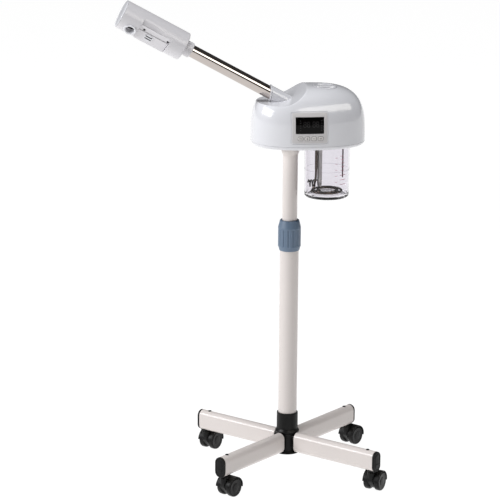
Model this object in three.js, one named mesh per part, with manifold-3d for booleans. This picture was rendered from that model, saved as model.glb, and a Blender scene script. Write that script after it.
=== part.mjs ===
// Facial steamer on a rolling stand.
//
// A cross base on four twin-wheel castors carries a telescopic column. A
// moulded housing turns on top of the column: it holds the boiler head, the
// glass water jar that hangs below it, the control panel, the fill cap and a
// chrome steam arm. The steam head swivels on the end of the arm.
//
// Millimetres, +Z up, the front of the housing faces -Y. Pieces are modelled
// about the column's axis, and the last group moves that axis to its place in
// the frame, whose origin is the middle of the bounding box on the floor.

import * as THREE from 'three';
import { ParametricGeometry } from 'three/addons/geometries/ParametricGeometry.js';
import { mergeVertices } from 'three/addons/utils/BufferGeometryUtils.js';
import Module from 'manifold-3d';

const wasm = await Module();
wasm.setup();

// ---------------------------------------------------------------- dimensions

const GAP = 0.3;                         // running gap between neighbours
const ROUND = 24;                        // facets round a column-sized piece
const SMALL = 10;                        // facets round a pin-sized piece

const COLUMN_X = 84.8;                   // column axis in the frame
const COLUMN_Y = -11.4;

// Castors
const WHEEL_R = 20;
const WHEEL_INNER = 6.4;                 // wheel faces, from the middle plane
const WHEEL_OUTER = 18.8;
const AXLE_R = 3;
const TRAIL = 18;                        // stem axis to axle
const HOOD_R = 23.5;
const HOOD_WALL = 2.9;
const STEM_R = 4;
const CASTOR_TOP = 44;
const STEM_RADIUS = 222;                 // stem axes, from the column axis

// Cross base
const LEG_WIDTH = 25;
const LEG_HEIGHT = 44;
const LEG_WALL = 1.5;
const LEG_BOTTOM = 47;
const LEG_START = 26.3;
const LEG_END = 232;
const CAP_THICKNESS = 5;
const HUB_R = 22.7;
const HUB_TOP = 134;
const HUB_BOTTOM = 44;
const LEGS = [
  { name: 'front_right', azimuth: -45, trail: 54 },
  { name: 'back_right', azimuth: 45, trail: 42 },
  { name: 'back_left', azimuth: 135, trail: 47 },
  { name: 'front_left', azimuth: 225, trail: 42 },
];

// Column
const LOWER_R = 20;
const LOWER_WALL = 1.6;
const LOWER_BOTTOM = 60.3;
const LOWER_TOP = 497;
const UPPER_R = 16;
const UPPER_WALL = 1.5;
const UPPER_BOTTOM = 300;
const UPPER_TOP = 765.5;
const NUT_BOTTOM = 493;
const NUT_TOP = 559;
const NUT_R = 24.3;
const NUT_FLUTES = 14;

// Housing
const CASE_X = 36;                       // middle of the plan oval
const CASE_A = 120;                      // half length, half depth
const CASE_B = 85;
const CASE_POWER = 2.4;                  // plan superellipse exponent
const SIDE_POWER = 3.5;                  // side superellipse exponent
const CASE_BOTTOM = 724;
const CASE_SPLIT = 732;                  // tray below, cover above
const CASE_WALL = 3;
const CASE_EDGE = 9;                     // rounding of the lower edge
const SHELF_TOP = 815;
const DOME_TOP = 849;
const SCOOP_X = -32;                     // the shelf ends and its flank rises here
const SCOOP_BEND = 0.0088;               // rise per square of the distance

// Control panel on the front wall
const PANEL = { x0: -9, x1: 64, z0: 741, z1: 804 };
const WINDOW = { x0: -1.8, x1: 56.8, z0: 761, z1: 795.3 };
const BUTTON_X = [8.1, 21.9, 35.9, 50];
const BUTTON_Z = 750.8;
const BUTTON_WIDTH = 9.6;
const BUTTON_HEIGHT = 7.6;

// Boiler and jar
const JAR_X = 78;
const JAR_R = 48.5;
const JAR_FOOT_R = 47;
const JAR_WALL = 3;
const JAR_FLOOR = 6;
const JAR_BOTTOM = 609;
const JAR_TOP = 733;
const HEAD_PLATE = 736;                  // underside of the boiler head
const HEAD_PLATE_TOP = 752;
const COIL_R = 29;
const COIL_TUBE = 3.2;
const COIL_Z = 622;

// Filling port
const FILL_X = 69;
const FILL_Y = -12;
const FILL_R = 24.6;
const FILL_SEAT = 839;
const PLUG_R = 17.5;

// Steam arm, along its own axis from the mouth of the neck
const ARM_X = -47.7;
const ARM_Z = 834.3;
const ARM_TILT = THREE.MathUtils.degToRad(28.9);
const ARM_R = 13.2;
const ARM_WALL = 1.2;
const ARM_START = -45;
const ARM_END = 204;
const NECK_R = 15.4;

// Steam head, along the same axis
const HEAD_TURN = THREE.MathUtils.degToRad(40);   // nozzle below level
const HEAD_R = 30.5;
const HEAD_WALL = 2.5;
const HEAD_START = 203.5;
const HEAD_END = 350;
const FLAT_START = 238;
const FLAT_END = 308;
const FLAT_DEPTH = 21.5;
const COVER_THICKNESS = 2;
const NOZZLE_S = 323;
const NOZZLE_R = 13;
const NOZZLE_BORE = 9;

// ------------------------------------------------------------------ finishes

const FINISH = {
  gloss_white: { color: 0xe9e9ee, roughness: 0.22, metalness: 0 },
  head_white: { color: 0xdcdade, roughness: 0.35, metalness: 0 },
  enamel: { color: 0xe4dcd8, roughness: 0.35, metalness: 0 },
  black_plastic: { color: 0x2b292a, roughness: 0.5, metalness: 0 },
  wheel_nylon: { color: 0x1f1d1e, roughness: 0.45, metalness: 0 },
  nut_blue: { color: 0x6e7f93, roughness: 0.45, metalness: 0 },
  chrome: { color: 0xe6e4e2, roughness: 0.06, metalness: 1 },
  glass: { color: 0xf2f4f4, roughness: 0.05, metalness: 0 },
  display: { color: 0x0a0808, roughness: 0.12, metalness: 0 },
  panel_grey: { color: 0xb9b4b1, roughness: 0.4, metalness: 0 },
  key_grey: { color: 0xc9c4c0, roughness: 0.45, metalness: 0 },
  steel: { color: 0x8c8680, roughness: 0.35, metalness: 1 },
  bolt_steel: { color: 0xa9a7a4, roughness: 0.4, metalness: 1 },
  probe_red: { color: 0x5b3a44, roughness: 0.4, metalness: 0 },
  seal_rubber: { color: 0xd8d4cc, roughness: 0.7, metalness: 0 },
  duct_silicone: { color: 0xcfc9c0, roughness: 0.6, metalness: 0 },
  circuit_green: { color: 0x2f5d3a, roughness: 0.5, metalness: 0 },
  lamp_glass: { color: 0xdfe4ea, roughness: 0.1, metalness: 0 },
};

// ------------------------------------------------------------------- helpers

/** Signed power, for superellipses. */
const power = (v, p) => Math.sign(v) * Math.abs(v) ** p;

/** Turns any closed three.js geometry into a manifold solid, faces outward. */
function solid(geometry) {
  const bare = geometry.clone();
  bare.deleteAttribute('normal');
  bare.deleteAttribute('uv');
  const merged = mergeVertices(bare, 1e-4);
  const xyz = merged.attributes.position.array;
  const source = merged.index.array;
  const kept = [];
  let volume = 0;
  const a = new THREE.Vector3();
  const b = new THREE.Vector3();
  const c = new THREE.Vector3();
  for (let i = 0; i < source.length; i += 3) {
    const [p, q, r] = [source[i], source[i + 1], source[i + 2]];
    if (p === q || q === r || r === p) continue;
    kept.push(p, q, r);
    a.fromArray(xyz, 3 * p);
    b.fromArray(xyz, 3 * q);
    c.fromArray(xyz, 3 * r);
    volume += a.dot(b.cross(c));
  }
  if (volume < 0) kept.reverse();
  const mesh = new wasm.Mesh({
    numProp: 3,
    vertProperties: new Float32Array(xyz),
    triVerts: new Uint32Array(kept),
  });
  return new wasm.Manifold(mesh);
}

/** Turns a manifold solid back into a three.js geometry. */
function geometryOf(body) {
  const mesh = body.getMesh();
  const geometry = new THREE.BufferGeometry();
  geometry.setAttribute('position', new THREE.BufferAttribute(mesh.vertProperties, 3));
  geometry.setIndex(new THREE.BufferAttribute(mesh.triVerts, 1));
  geometry.computeVertexNormals();
  return geometry;
}

const join = (first, ...others) => others.reduce((sum, other) => sum.add(other), first);
const cut = (first, ...tools) => tools.reduce((rest, tool) => rest.subtract(tool), first);

/** A turned solid about +Z; the profile lists [radius, z] and closes itself. */
function turned(profile, segments = ROUND, x = 0, y = 0) {
  const points = profile.map(([r, z]) => new THREE.Vector2(r, z));
  if (profile[0][0] > 0) points.push(points[0].clone());
  const lathe = new THREE.LatheGeometry(points, segments);
  return solid(lathe.rotateX(Math.PI / 2).translate(x, y, 0));
}

/** A solid rod along +Z. */
const rod = (r, z0, z1, segments = SMALL, x = 0, y = 0) =>
  turned([[0, z0], [r, z0], [r, z1], [0, z1]], segments, x, y);

/** A tube along +Z, open at both ends. */
const tube = (outer, inner, z0, z1, segments = ROUND, x = 0, y = 0) =>
  turned([[inner, z0], [outer, z0], [outer, z1], [inner, z1]], segments, x, y);

/** A box between two corners. */
function block(x0, x1, y0, y1, z0, z1) {
  const box = new THREE.BoxGeometry(x1 - x0, y1 - y0, z1 - z0);
  return solid(box.translate((x0 + x1) / 2, (y0 + y1) / 2, (z0 + z1) / 2));
}

/** A box with rounded corners in the XZ plane, running through y0 to y1. */
function roundedBlock(x0, x1, y0, y1, z0, z1, radius) {
  const outline = new THREE.Shape();
  outline.absarc(x1 - radius, z1 - radius, radius, 0, Math.PI / 2);
  outline.absarc(x0 + radius, z1 - radius, radius, Math.PI / 2, Math.PI);
  outline.absarc(x0 + radius, z0 + radius, radius, Math.PI, 1.5 * Math.PI);
  outline.absarc(x1 - radius, z0 + radius, radius, 1.5 * Math.PI, 2 * Math.PI);
  const plate = new THREE.ExtrudeGeometry(outline, {
    depth: y1 - y0,
    bevelEnabled: false,
    curveSegments: 2,
  });
  return solid(plate.rotateX(Math.PI / 2).translate(0, y1, 0));
}

/** A round bar along a smooth curve through the given points. */
function bar(points, radius, steps, sides = 6) {
  const section = new THREE.Shape();
  section.absarc(0, 0, radius, 0, 2 * Math.PI);
  const path = new THREE.CatmullRomCurve3(points.map((p) => new THREE.Vector3(...p)));
  const geometry = new THREE.ExtrudeGeometry(section, {
    extrudePath: path,
    steps,
    curveSegments: sides,
  });
  return solid(geometry);
}

/** Moves a solid by rotation (about X, Y or Z, in that order) and offset. */
function placed(body, { turn = [0, 0, 0], at = [0, 0, 0] }) {
  const degrees = turn.map((t) => THREE.MathUtils.radToDeg(t));
  return body.rotate(degrees).translate(at);
}

const group = new THREE.Group();
const stand = new THREE.Group();
stand.position.set(COLUMN_X, COLUMN_Y, 0);
group.add(stand);

/** Adds a finished piece to its parent group as a named mesh. */
function piece(name, body, finish, parent = stand) {
  const material = new THREE.MeshStandardMaterial(FINISH[finish]);
  const mesh = new THREE.Mesh(geometryOf(body), material);
  mesh.name = name;
  parent.add(mesh);
  return mesh;
}

// ---------------------------------------------------------------- cross base

/** Flat oval bar along +X: a rectangle with half-round top and bottom edges. */
function ovalBar(x0, x1, width, height, bore = 0) {
  const half = width / 2;
  const straight = height / 2 - half;
  const outline = new THREE.Shape();
  outline.absarc(0, straight, half, 0, Math.PI);
  outline.absarc(0, -straight, half, Math.PI, 2 * Math.PI);
  if (bore > 0) {
    const inner = half - bore;
    const hole = new THREE.Path();
    hole.absarc(0, straight, inner, 0, Math.PI);
    hole.absarc(0, -straight, inner, Math.PI, 2 * Math.PI);
    outline.holes.push(hole);
  }
  const length = x1 - x0;
  const geometry = new THREE.ExtrudeGeometry(outline, {
    depth: length,
    bevelEnabled: false,
    curveSegments: 4,
  });
  geometry.rotateX(Math.PI / 2).rotateZ(Math.PI / 2);
  return solid(geometry.translate(x0, 0, LEG_BOTTOM + LEG_HEIGHT / 2));
}

function makeHub() {
  const bodyProfile = [
    [0, HUB_BOTTOM], [27, HUB_BOTTOM], [27, 46.7], [20.5, 50], [20.5, 86], [25.9, 91.3],
    [HUB_R, 97], [HUB_R, HUB_TOP], [0, HUB_TOP],
  ];
  const clear = LEG_WALL + GAP;
  const stubs = LEGS.map(({ azimuth }) => placed(
    ovalBar(12, 58, LEG_WIDTH - 2 * clear, LEG_HEIGHT - 2 * clear),
    { turn: [0, 0, THREE.MathUtils.degToRad(azimuth)] },
  ));
  const columnBore = rod(LOWER_R + GAP, LOWER_BOTTOM - GAP, HUB_TOP + 5, ROUND);
  const boltHole = rod(5.4, HUB_BOTTOM - 5, LOWER_BOTTOM, SMALL);
  const boltSeat = rod(10, HUB_BOTTOM - 5, 50.7, SMALL);
  return cut(join(turned(bodyProfile), ...stubs), columnBore, boltHole, boltSeat);
}

function makeHubBolt() {
  const shank = rod(5, 46, 80, SMALL);
  const head = rod(9, HUB_BOTTOM + 0.4, 50.4, 6);
  return join(shank, head);
}

function makeLeg() {
  const stemRoom = rod(8.2, LEG_BOTTOM - 5, 60, SMALL, STEM_RADIUS, 0);
  return cut(ovalBar(LEG_START, LEG_END, LEG_WIDTH, LEG_HEIGHT, LEG_WALL), stemRoom);
}

function makeLegCap() {
  const clear = LEG_WALL + GAP;
  const flange = ovalBar(LEG_END + GAP, LEG_END + GAP + CAP_THICKNESS, LEG_WIDTH, LEG_HEIGHT);
  const lip = block(LEG_END + GAP, LEG_END + 3.6, -7, 7, CASTOR_TOP + 0.9, 60);
  const plug = ovalBar(208, LEG_END + 1, LEG_WIDTH - 2 * clear, LEG_HEIGHT - 2 * clear);
  const boss = rod(7.6, CASTOR_TOP + 1, 60, SMALL, STEM_RADIUS, 0);
  const bore = rod(STEM_R + GAP, 40, 78.5, SMALL, STEM_RADIUS, 0);
  return cut(join(flange, lip, plug, boss), bore);
}

/** Castor body about its stem axis, trailing along +X, wheels across Y. */
function makeCastorFrame() {
  const webHalf = WHEEL_INNER - 0.4;
  const webOutline = new THREE.Shape([
    [-6.8, 24], [-6.8, 40], [6, 41.5], [30, 41], [34.5, 28], [33, 12], [24, 4.6], [12, 4.6], [3, 12],
  ].map(([x, z]) => new THREE.Vector2(x, z)));
  const web = new THREE.ExtrudeGeometry(webOutline, { depth: 2 * webHalf, bevelEnabled: false });
  const hoodOutline = new THREE.Shape();
  hoodOutline.absarc(TRAIL, WHEEL_R, HOOD_R, 0.1, Math.PI * 0.96, false);
  hoodOutline.absarc(TRAIL, WHEEL_R, HOOD_R - HOOD_WALL, Math.PI * 0.96, 0.1, true);
  const hood = new THREE.ExtrudeGeometry(hoodOutline, {
    depth: 2 * WHEEL_OUTER,
    bevelEnabled: false,
    curveSegments: 8,
  });
  const socket = rod(8.4, 38.6, CASTOR_TOP, SMALL);
  const axle = placed(
    rod(AXLE_R, -WHEEL_OUTER + 2.4, WHEEL_OUTER - 2.4, 8),
    { turn: [Math.PI / 2, 0, 0], at: [TRAIL, 0, WHEEL_R] },
  );
  const stemBore = rod(STEM_R + GAP, 27, CASTOR_TOP + 3, SMALL);
  return cut(join(
    solid(web.rotateX(Math.PI / 2).translate(0, webHalf, 0)),
    solid(hood.rotateX(Math.PI / 2).translate(0, WHEEL_OUTER, 0)),
    socket,
    axle,
  ), stemBore);
}

/** Wheel about +Y from the middle plane outward. */
function makeWheel(side) {
  const rim = WHEEL_OUTER - WHEEL_INNER;
  const wheel = turned([
    [0, rim], [17, rim], [WHEEL_R, rim - 2.4], [WHEEL_R, 1.2], [18.8, 0], [0, 0],
  ], 20);
  const bore = rod(AXLE_R + GAP, -1, rim - 2, 8);
  return placed(cut(wheel, bore), {
    turn: [side > 0 ? -Math.PI / 2 : Math.PI / 2, 0, 0],
    at: [TRAIL, side * WHEEL_INNER, WHEEL_R],
  });
}

piece('hub', makeHub(), 'black_plastic');
piece('hub_bolt', makeHubBolt(), 'bolt_steel');

for (const { name, azimuth, trail } of LEGS) {
  const arm = new THREE.Group();
  arm.rotation.z = THREE.MathUtils.degToRad(azimuth);
  stand.add(arm);
  piece(`leg_${name}`, makeLeg(), 'enamel', arm);
  piece(`leg_cap_${name}`, makeLegCap(), 'black_plastic', arm);
  piece(`castor_stem_${name}`, rod(STEM_R, 28, 78, SMALL, STEM_RADIUS, 0), 'bolt_steel', arm);

  const castor = new THREE.Group();
  castor.position.set(STEM_RADIUS, 0, 0);
  castor.rotation.z = THREE.MathUtils.degToRad(trail - azimuth);
  arm.add(castor);
  piece(`castor_frame_${name}`, makeCastorFrame(), 'black_plastic', castor);
  piece(`castor_wheel_${name}_left`, makeWheel(1), 'wheel_nylon', castor);
  piece(`castor_wheel_${name}_right`, makeWheel(-1), 'wheel_nylon', castor);
}

// -------------------------------------------------------------------- column

function makeLowerColumn() {
  const bore = rod(LOWER_R - LOWER_WALL, LOWER_BOTTOM + 8, LOWER_TOP + 5, ROUND);
  const boltHole = rod(5.3, LOWER_BOTTOM - 5, LOWER_BOTTOM + 10, SMALL);
  return cut(rod(LOWER_R, LOWER_BOTTOM, LOWER_TOP, ROUND), bore, boltHole);
}

/** Split clamping sleeve between the two tubes, with a shouldered head. */
function makeCollet() {
  const spigot = LOWER_R - LOWER_WALL - GAP;
  return turned([
    [UPPER_R + GAP, 450], [spigot, 450], [spigot, LOWER_TOP + GAP], [LOWER_R, LOWER_TOP + GAP],
    [LOWER_R, 546], [18.6, 550.4], [UPPER_R + GAP, 550.4],
  ]);
}

/** Clamping nut: fluted grip, cone above and chamfer below. */
function makeCollarNut() {
  const outline = new THREE.Shape();
  const points = NUT_FLUTES * 3;
  for (let i = 0; i < points; i += 1) {
    const angle = (2 * Math.PI * i) / points;
    const r = i % 3 === 0 ? NUT_R - 1.5 : NUT_R;
    const method = i === 0 ? 'moveTo' : 'lineTo';
    outline[method](r * Math.cos(angle), r * Math.sin(angle));
  }
  outline.closePath();
  const grip = new THREE.ExtrudeGeometry(outline, { depth: 39, bevelEnabled: false });
  const core = turned([
    [0, NUT_BOTTOM], [21.3, NUT_BOTTOM], [23, 502], [23, 541], [NUT_R, 541], [NUT_R, 543],
    [20.4, NUT_TOP - 1], [19.6, NUT_TOP], [0, NUT_TOP],
  ]);
  const bore = rod(LOWER_R + 0.4, NUT_BOTTOM - 5, 551, ROUND);
  const mouth = rod(UPPER_R + 0.5, NUT_BOTTOM, NUT_TOP + 5, ROUND);
  return cut(join(core, solid(grip.translate(0, 0, 502))), bore, mouth);
}

function makeColumnBush() {
  const spigot = UPPER_R - UPPER_WALL - GAP;
  const flange = LOWER_R - LOWER_WALL - GAP;
  return turned([
    [8, UPPER_BOTTOM - 14], [flange, UPPER_BOTTOM - 14], [flange, UPPER_BOTTOM - GAP],
    [spigot, UPPER_BOTTOM - GAP], [spigot, UPPER_BOTTOM + 18], [8, UPPER_BOTTOM + 18],
  ]);
}

piece('lower_column', makeLowerColumn(), 'enamel');
piece('collet', makeCollet(), 'black_plastic');
piece('collar_nut', makeCollarNut(), 'nut_blue');
piece('upper_column', tube(UPPER_R, UPPER_R - UPPER_WALL, UPPER_BOTTOM, UPPER_TOP), 'enamel');
piece('column_bush', makeColumnBush(), 'black_plastic');

// ------------------------------------------------------------------- housing

/** Height of the full dome over the plan, before the shelf is cut into it. */
const domeHeight = (y, grow) => DOME_TOP - 6 * (y / CASE_B) ** 2 + grow;

/**
 * The full dome, grown by an offset: a superellipse in plan, whose walls rise
 * straight to the start of the curve and close over in a second superellipse.
 */
function caseForm(grow, bottom, edge, slices = 36, stacks = 14) {
  const lowerRows = edge > 0 ? 4 : 2;
  const start = CASE_BOTTOM + CASE_EDGE;
  const upper = stacks - lowerRows;
  const place = (u, v, target) => {
    const angle = 2 * Math.PI * u;
    const ux = power(Math.cos(angle), 2 / CASE_POWER);
    const uy = power(Math.sin(angle), 2 / CASE_POWER);
    const row = v * stacks;
    let reach = 1;
    let inset = 0;
    let height = 0;
    let z = bottom;
    if (row <= lowerRows) {
      const turn = (Math.PI / 2) * Math.max(0, (row - 1) / (lowerRows - 1));
      reach = Math.min(1, row);
      inset = edge * (1 - Math.sin(turn));
      z = start - (start - bottom) * Math.cos(turn);
    } else {
      const sweep = (Math.PI / 2) * Math.min(1, (row - lowerRows) / upper);
      reach = Math.max(0, Math.cos(sweep)) ** (2 / SIDE_POWER);
      height = Math.sin(sweep) ** (2 / SIDE_POWER);
    }
    const x = CASE_X + reach * (CASE_A + grow - inset) * ux;
    const y = reach * (CASE_B + grow - inset) * uy;
    if (row > lowerRows) z = start + (domeHeight(y, grow) - start) * height;
    if (row >= stacks) target.set(CASE_X, 0, domeHeight(0, grow));
    else target.set(x, y, z);
  };
  return solid(new ParametricGeometry(place, slices, stacks));
}

const armFrame = { turn: [0, ARM_TILT - Math.PI / 2, 0], at: [ARM_X, 0, ARM_Z] };

/** Cuts the level shelf and its hollow flank into a dome. */
function shelved(form, grow) {
  const outline = new THREE.Shape([new THREE.Vector2(-200, SHELF_TOP + grow)]);
  for (let i = 0; i <= 10; i += 1) {
    const run = 7 * i;
    outline.lineTo(SCOOP_X + run, SHELF_TOP + SCOOP_BEND * run ** 2 + grow);
  }
  outline.lineTo(SCOOP_X + 70, 1000);
  outline.lineTo(-200, 1000);
  const above = new THREE.ExtrudeGeometry(outline, { depth: 400, bevelEnabled: false });
  return cut(form, solid(above.rotateX(Math.PI / 2).translate(0, 200, 0)));
}

const outerForm = shelved(caseForm(0, CASE_BOTTOM, CASE_EDGE), 0);
const innerForm = shelved(caseForm(-CASE_WALL, CASE_BOTTOM - 20, 0, 24, 9), -CASE_WALL);

/** A curved plate that follows the front wall between two offsets. */
function wallPlate({ x0, x1, z0, z1 }, proud, deep, radius) {
  const window = roundedBlock(x0, x1, -110, -40, z0, z1, radius);
  const skin = cut(
    caseForm(proud, CASE_BOTTOM - 20, 0, 36, 9),
    caseForm(-deep, CASE_BOTTOM - 25, 0, 24, 6),
  );
  return skin.intersect(window);
}

const grown = ({ x0, x1, z0, z1 }, by) => ({ x0: x0 - by, x1: x1 + by, z0: z0 - by, z1: z1 + by });
const buttonArea = (x) => ({
  x0: x - BUTTON_WIDTH / 2,
  x1: x + BUTTON_WIDTH / 2,
  z0: BUTTON_Z - BUTTON_HEIGHT / 2,
  z1: BUTTON_Z + BUTTON_HEIGHT / 2,
});

function panelOpening(area, by, radius) {
  const { x0, x1, z0, z1 } = grown(area, by);
  return roundedBlock(x0, x1, -110, -40, z0, z1, radius);
}

function makeHousingShell() {
  const neck = placed(rod(NECK_R, -58, 0, 24), armFrame);
  const boss = rod(28, 832, 860, ROUND, FILL_X, FILL_Y).intersect(outerForm);
  const shell = cut(join(outerForm, neck), innerForm);
  const above = block(-200, 300, -200, 200, CASE_SPLIT + GAP, 1000);
  return cut(
    join(shell, boss).intersect(above),
    placed(rod(ARM_R + 0.4, -90, 5, 24), armFrame),
    rod(FILL_R + 0.4, FILL_SEAT, 870, ROUND, FILL_X, FILL_Y),
    rod(19.8, 800, 870, ROUND, FILL_X, FILL_Y),
    panelOpening(PANEL, GAP, 3.3),
    block(22, 50, 60, 120, 740, 761),
  );
}

function makeHousingBase() {
  const below = block(-200, 300, -200, 200, 0, CASE_SPLIT);
  const hollow = caseForm(-CASE_WALL, CASE_BOTTOM + CASE_WALL, 0, 24, 5);
  return cut(
    outerForm.intersect(below),
    hollow,
    rod(18.4, 700, 760, ROUND),
    rod(50.2, 700, 760, ROUND, JAR_X, 0),
  );
}

function makeColumnSocket() {
  const inner = UPPER_R + GAP;
  return turned([
    [0, 772], [19.5, 772], [19.5, CASE_BOTTOM + 6.8], [27, CASE_BOTTOM + 6.8],
    [27, CASE_BOTTOM + 3.3], [18, CASE_BOTTOM + 3.3], [18, 710], [17, 708],
    [inner, 708], [inner, UPPER_TOP + GAP], [0, UPPER_TOP + GAP],
  ]);
}

function makeControlPanel() {
  const frame = wallPlate(PANEL, 0.9, 2.2, 3);
  return cut(
    frame,
    panelOpening(WINDOW, GAP, 0.8),
    ...BUTTON_X.map((x) => panelOpening(buttonArea(x), 0.35, 2)),
  );
}

piece('housing_shell', makeHousingShell(), 'gloss_white');
piece('housing_base', makeHousingBase(), 'gloss_white');
piece('column_socket', makeColumnSocket(), 'black_plastic');
piece('control_panel', makeControlPanel(), 'panel_grey');
piece('display_window', wallPlate(WINDOW, 0.6, 1.8, 0.6), 'display');
BUTTON_X.forEach((x, i) => {
  piece(`button_${i + 1}`, wallPlate(buttonArea(x), 1.7, 3.2, 1.8), 'key_grey');
});
piece('circuit_board', block(2, 54, -74.6, -73, 747, 795), 'circuit_green');

// -------------------------------------------------------------- power inlet

function makePowerInlet() {
  const flange = roundedBlock(18, 54, 85.4, 88.4, 737, 764, 3);
  const body = block(22.4, 49.6, 66, 86, 740.4, 760.6);
  const socket = block(24.4, 47.6, 69, 95, 742.4, 758.6);
  return cut(join(flange, body), socket);
}

piece('power_inlet', makePowerInlet(), 'black_plastic');

// ------------------------------------------------------------ boiler and jar

function makeBoilerHead() {
  return turned([
    [0, HEAD_PLATE], [52, HEAD_PLATE], [52, 746], [48, HEAD_PLATE_TOP], [0, HEAD_PLATE_TOP],
  ], ROUND, JAR_X, 0);
}

function makeHeater() {
  const coil = new THREE.TorusGeometry(COIL_R, COIL_TUBE, 6, 20);
  const ring = solid(coil.translate(JAR_X, 0, COIL_Z));
  const legX = JAR_X - 27.8;
  const legs = [-8, 8].map((y) => rod(3.6, COIL_Z, HEAD_PLATE - GAP, 10, legX, y));
  return join(ring, ...legs);
}

function makeJar() {
  const inner = JAR_R - JAR_WALL;
  return turned([
    [0, JAR_BOTTOM + 1.4], [JAR_FOOT_R - 9, JAR_BOTTOM + 1], [JAR_FOOT_R - 7, JAR_BOTTOM],
    [JAR_FOOT_R - 3, JAR_BOTTOM], [JAR_FOOT_R, JAR_BOTTOM + 3], [JAR_R, JAR_TOP - 12],
    [JAR_R, JAR_TOP], [inner, JAR_TOP], [inner, JAR_TOP - 12],
    [JAR_FOOT_R - JAR_WALL, JAR_BOTTOM + JAR_FLOOR + 3],
    [JAR_FOOT_R - JAR_WALL - 3, JAR_BOTTOM + JAR_FLOOR], [0, JAR_BOTTOM + JAR_FLOOR],
  ], ROUND, JAR_X, 0);
}

function makeFillTube() {
  return turned([
    [10.5, HEAD_PLATE_TOP + GAP], [12, HEAD_PLATE_TOP + GAP], [12, 800], [21.4, 812],
    [21.4, 831.6], [19.8, 831.6], [19.8, 812.6], [10.5, 800.6],
  ], 20, FILL_X, FILL_Y);
}

function makeSteamDuct() {
  const start = [44, 0, HEAD_PLATE_TOP + GAP];
  const end = [ARM_X + 46 * Math.cos(ARM_TILT), 0, ARM_Z - 46 * Math.sin(ARM_TILT)];
  return bar([start, [44, 0, 764], [36, 0, 782], [18, 0, 797], end], 8.5, 9);
}

function makeFillCap() {
  const drum = rod(FILL_R, FILL_SEAT + GAP, 860, ROUND, FILL_X, FILL_Y);
  const top = drum.intersect(caseForm(0.4, CASE_BOTTOM, 0, 24, 9));
  const dish = rod(20.4, FILL_SEAT + 2, 870, 24, FILL_X, FILL_Y);
  const turn = THREE.MathUtils.degToRad(12);
  const bridge = placed(
    block(-30, 30, -4.2, 4.2, 840, 880),
    { turn: [0, 0, turn], at: [FILL_X, FILL_Y, 0] },
  );
  return cut(top, cut(dish, bridge));
}

function makeFillPlug() {
  return turned([
    [0, 818], [PLUG_R - 1, 818], [PLUG_R, 819.5], [PLUG_R, 828], [PLUG_R + 1.2, 829],
    [PLUG_R + 1.2, 832], [PLUG_R, 833], [PLUG_R, FILL_SEAT], [0, FILL_SEAT],
  ], 24, FILL_X, FILL_Y);
}

piece('boiler_head', makeBoilerHead(), 'steel');
piece('heater', makeHeater(), 'steel');
piece('level_probe', rod(1.6, 648, HEAD_PLATE - GAP, 8, JAR_X + 34, 0), 'probe_red');
piece('jar_seal', tube(47.5, 38, JAR_TOP + GAP, HEAD_PLATE - GAP, ROUND, JAR_X, 0), 'seal_rubber');
piece('jar', makeJar(), 'glass');
piece('steam_duct', makeSteamDuct(), 'duct_silicone');
piece('fill_tube', makeFillTube(), 'duct_silicone');
piece('fill_plug', makeFillPlug(), 'seal_rubber');
piece('fill_cap', makeFillCap(), 'gloss_white');

// ----------------------------------------------------------------- steam arm

const armGroup = new THREE.Group();
armGroup.position.set(ARM_X, 0, ARM_Z);
armGroup.rotation.y = ARM_TILT - Math.PI / 2;
stand.add(armGroup);

/** Sleeve that the head turns on, with a flange that keeps the head on. */
function makeHeadCollar() {
  return turned([
    [ARM_R + GAP, 186], [15.6, 186], [16.4, 187], [16.4, HEAD_START + 3.4], [20, HEAD_START + 3.4],
    [20, HEAD_START + 8], [8.2, HEAD_START + 8], [8.2, ARM_END + GAP], [ARM_R + GAP, ARM_END + GAP],
  ], 24);
}

piece('neck_gland', tube(16.2, ARM_R + 0.4, GAP, 3.8, 24), 'gloss_white', armGroup);
piece('arm_tube', tube(ARM_R, ARM_R - ARM_WALL, ARM_START, ARM_END, 24), 'chrome', armGroup);
piece('head_collar', makeHeadCollar(), 'head_white', armGroup);

// ---------------------------------------------------------------- steam head

const headGroup = new THREE.Group();
headGroup.rotation.z = -HEAD_TURN;
armGroup.add(headGroup);

/** Turned about -Y at the nozzle's place, from the head's axis outward. */
const nozzleTurned = (profile, segments) => placed(turned(profile, segments), {
  turn: [Math.PI / 2, 0, 0],
  at: [0, 0, NOZZLE_S],
});

function makeHeadShell() {
  const inner = HEAD_R - HEAD_WALL;
  const shell = turned([
    [16.8, HEAD_START], [28.6, HEAD_START], [HEAD_R, HEAD_START + 2], [HEAD_R, HEAD_END],
    [inner, HEAD_END], [inner, HEAD_START + 3], [16.8, HEAD_START + 3],
  ]);
  const flat = block(-32, 32, -40, -FLAT_DEPTH, FLAT_START, FLAT_END);
  const mouth = nozzleTurned([[0, 10], [NOZZLE_R + GAP, 10], [NOZZLE_R + GAP, 50], [0, 50]], 24);
  return cut(shell, flat, mouth);
}

function makeEndCap() {
  const spigot = HEAD_R - HEAD_WALL - GAP;
  return turned([
    [0, HEAD_END + 3.6], [20, HEAD_END + 2.9], [HEAD_R, HEAD_END + 0.9],
    [HEAD_R, HEAD_END + GAP], [spigot, HEAD_END + GAP], [spigot, HEAD_END - 6],
    [spigot - 2, HEAD_END - 6], [spigot - 2, HEAD_END + GAP], [0, HEAD_END + GAP],
  ]);
}

function makeLampCover() {
  const y = -FLAT_DEPTH - GAP;
  const half = 19.2;
  const plate = block(-half, half, y - COVER_THICKNESS, y, FLAT_START + GAP, FLAT_END - GAP);
  const middle = (FLAT_START + FLAT_END) / 2 + 7;
  const slots = [-3.2, 3.2].map((x) => block(x - 1, x + 1, -40, 0, middle - 5, middle + 5));
  return cut(plate, ...slots);
}

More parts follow.
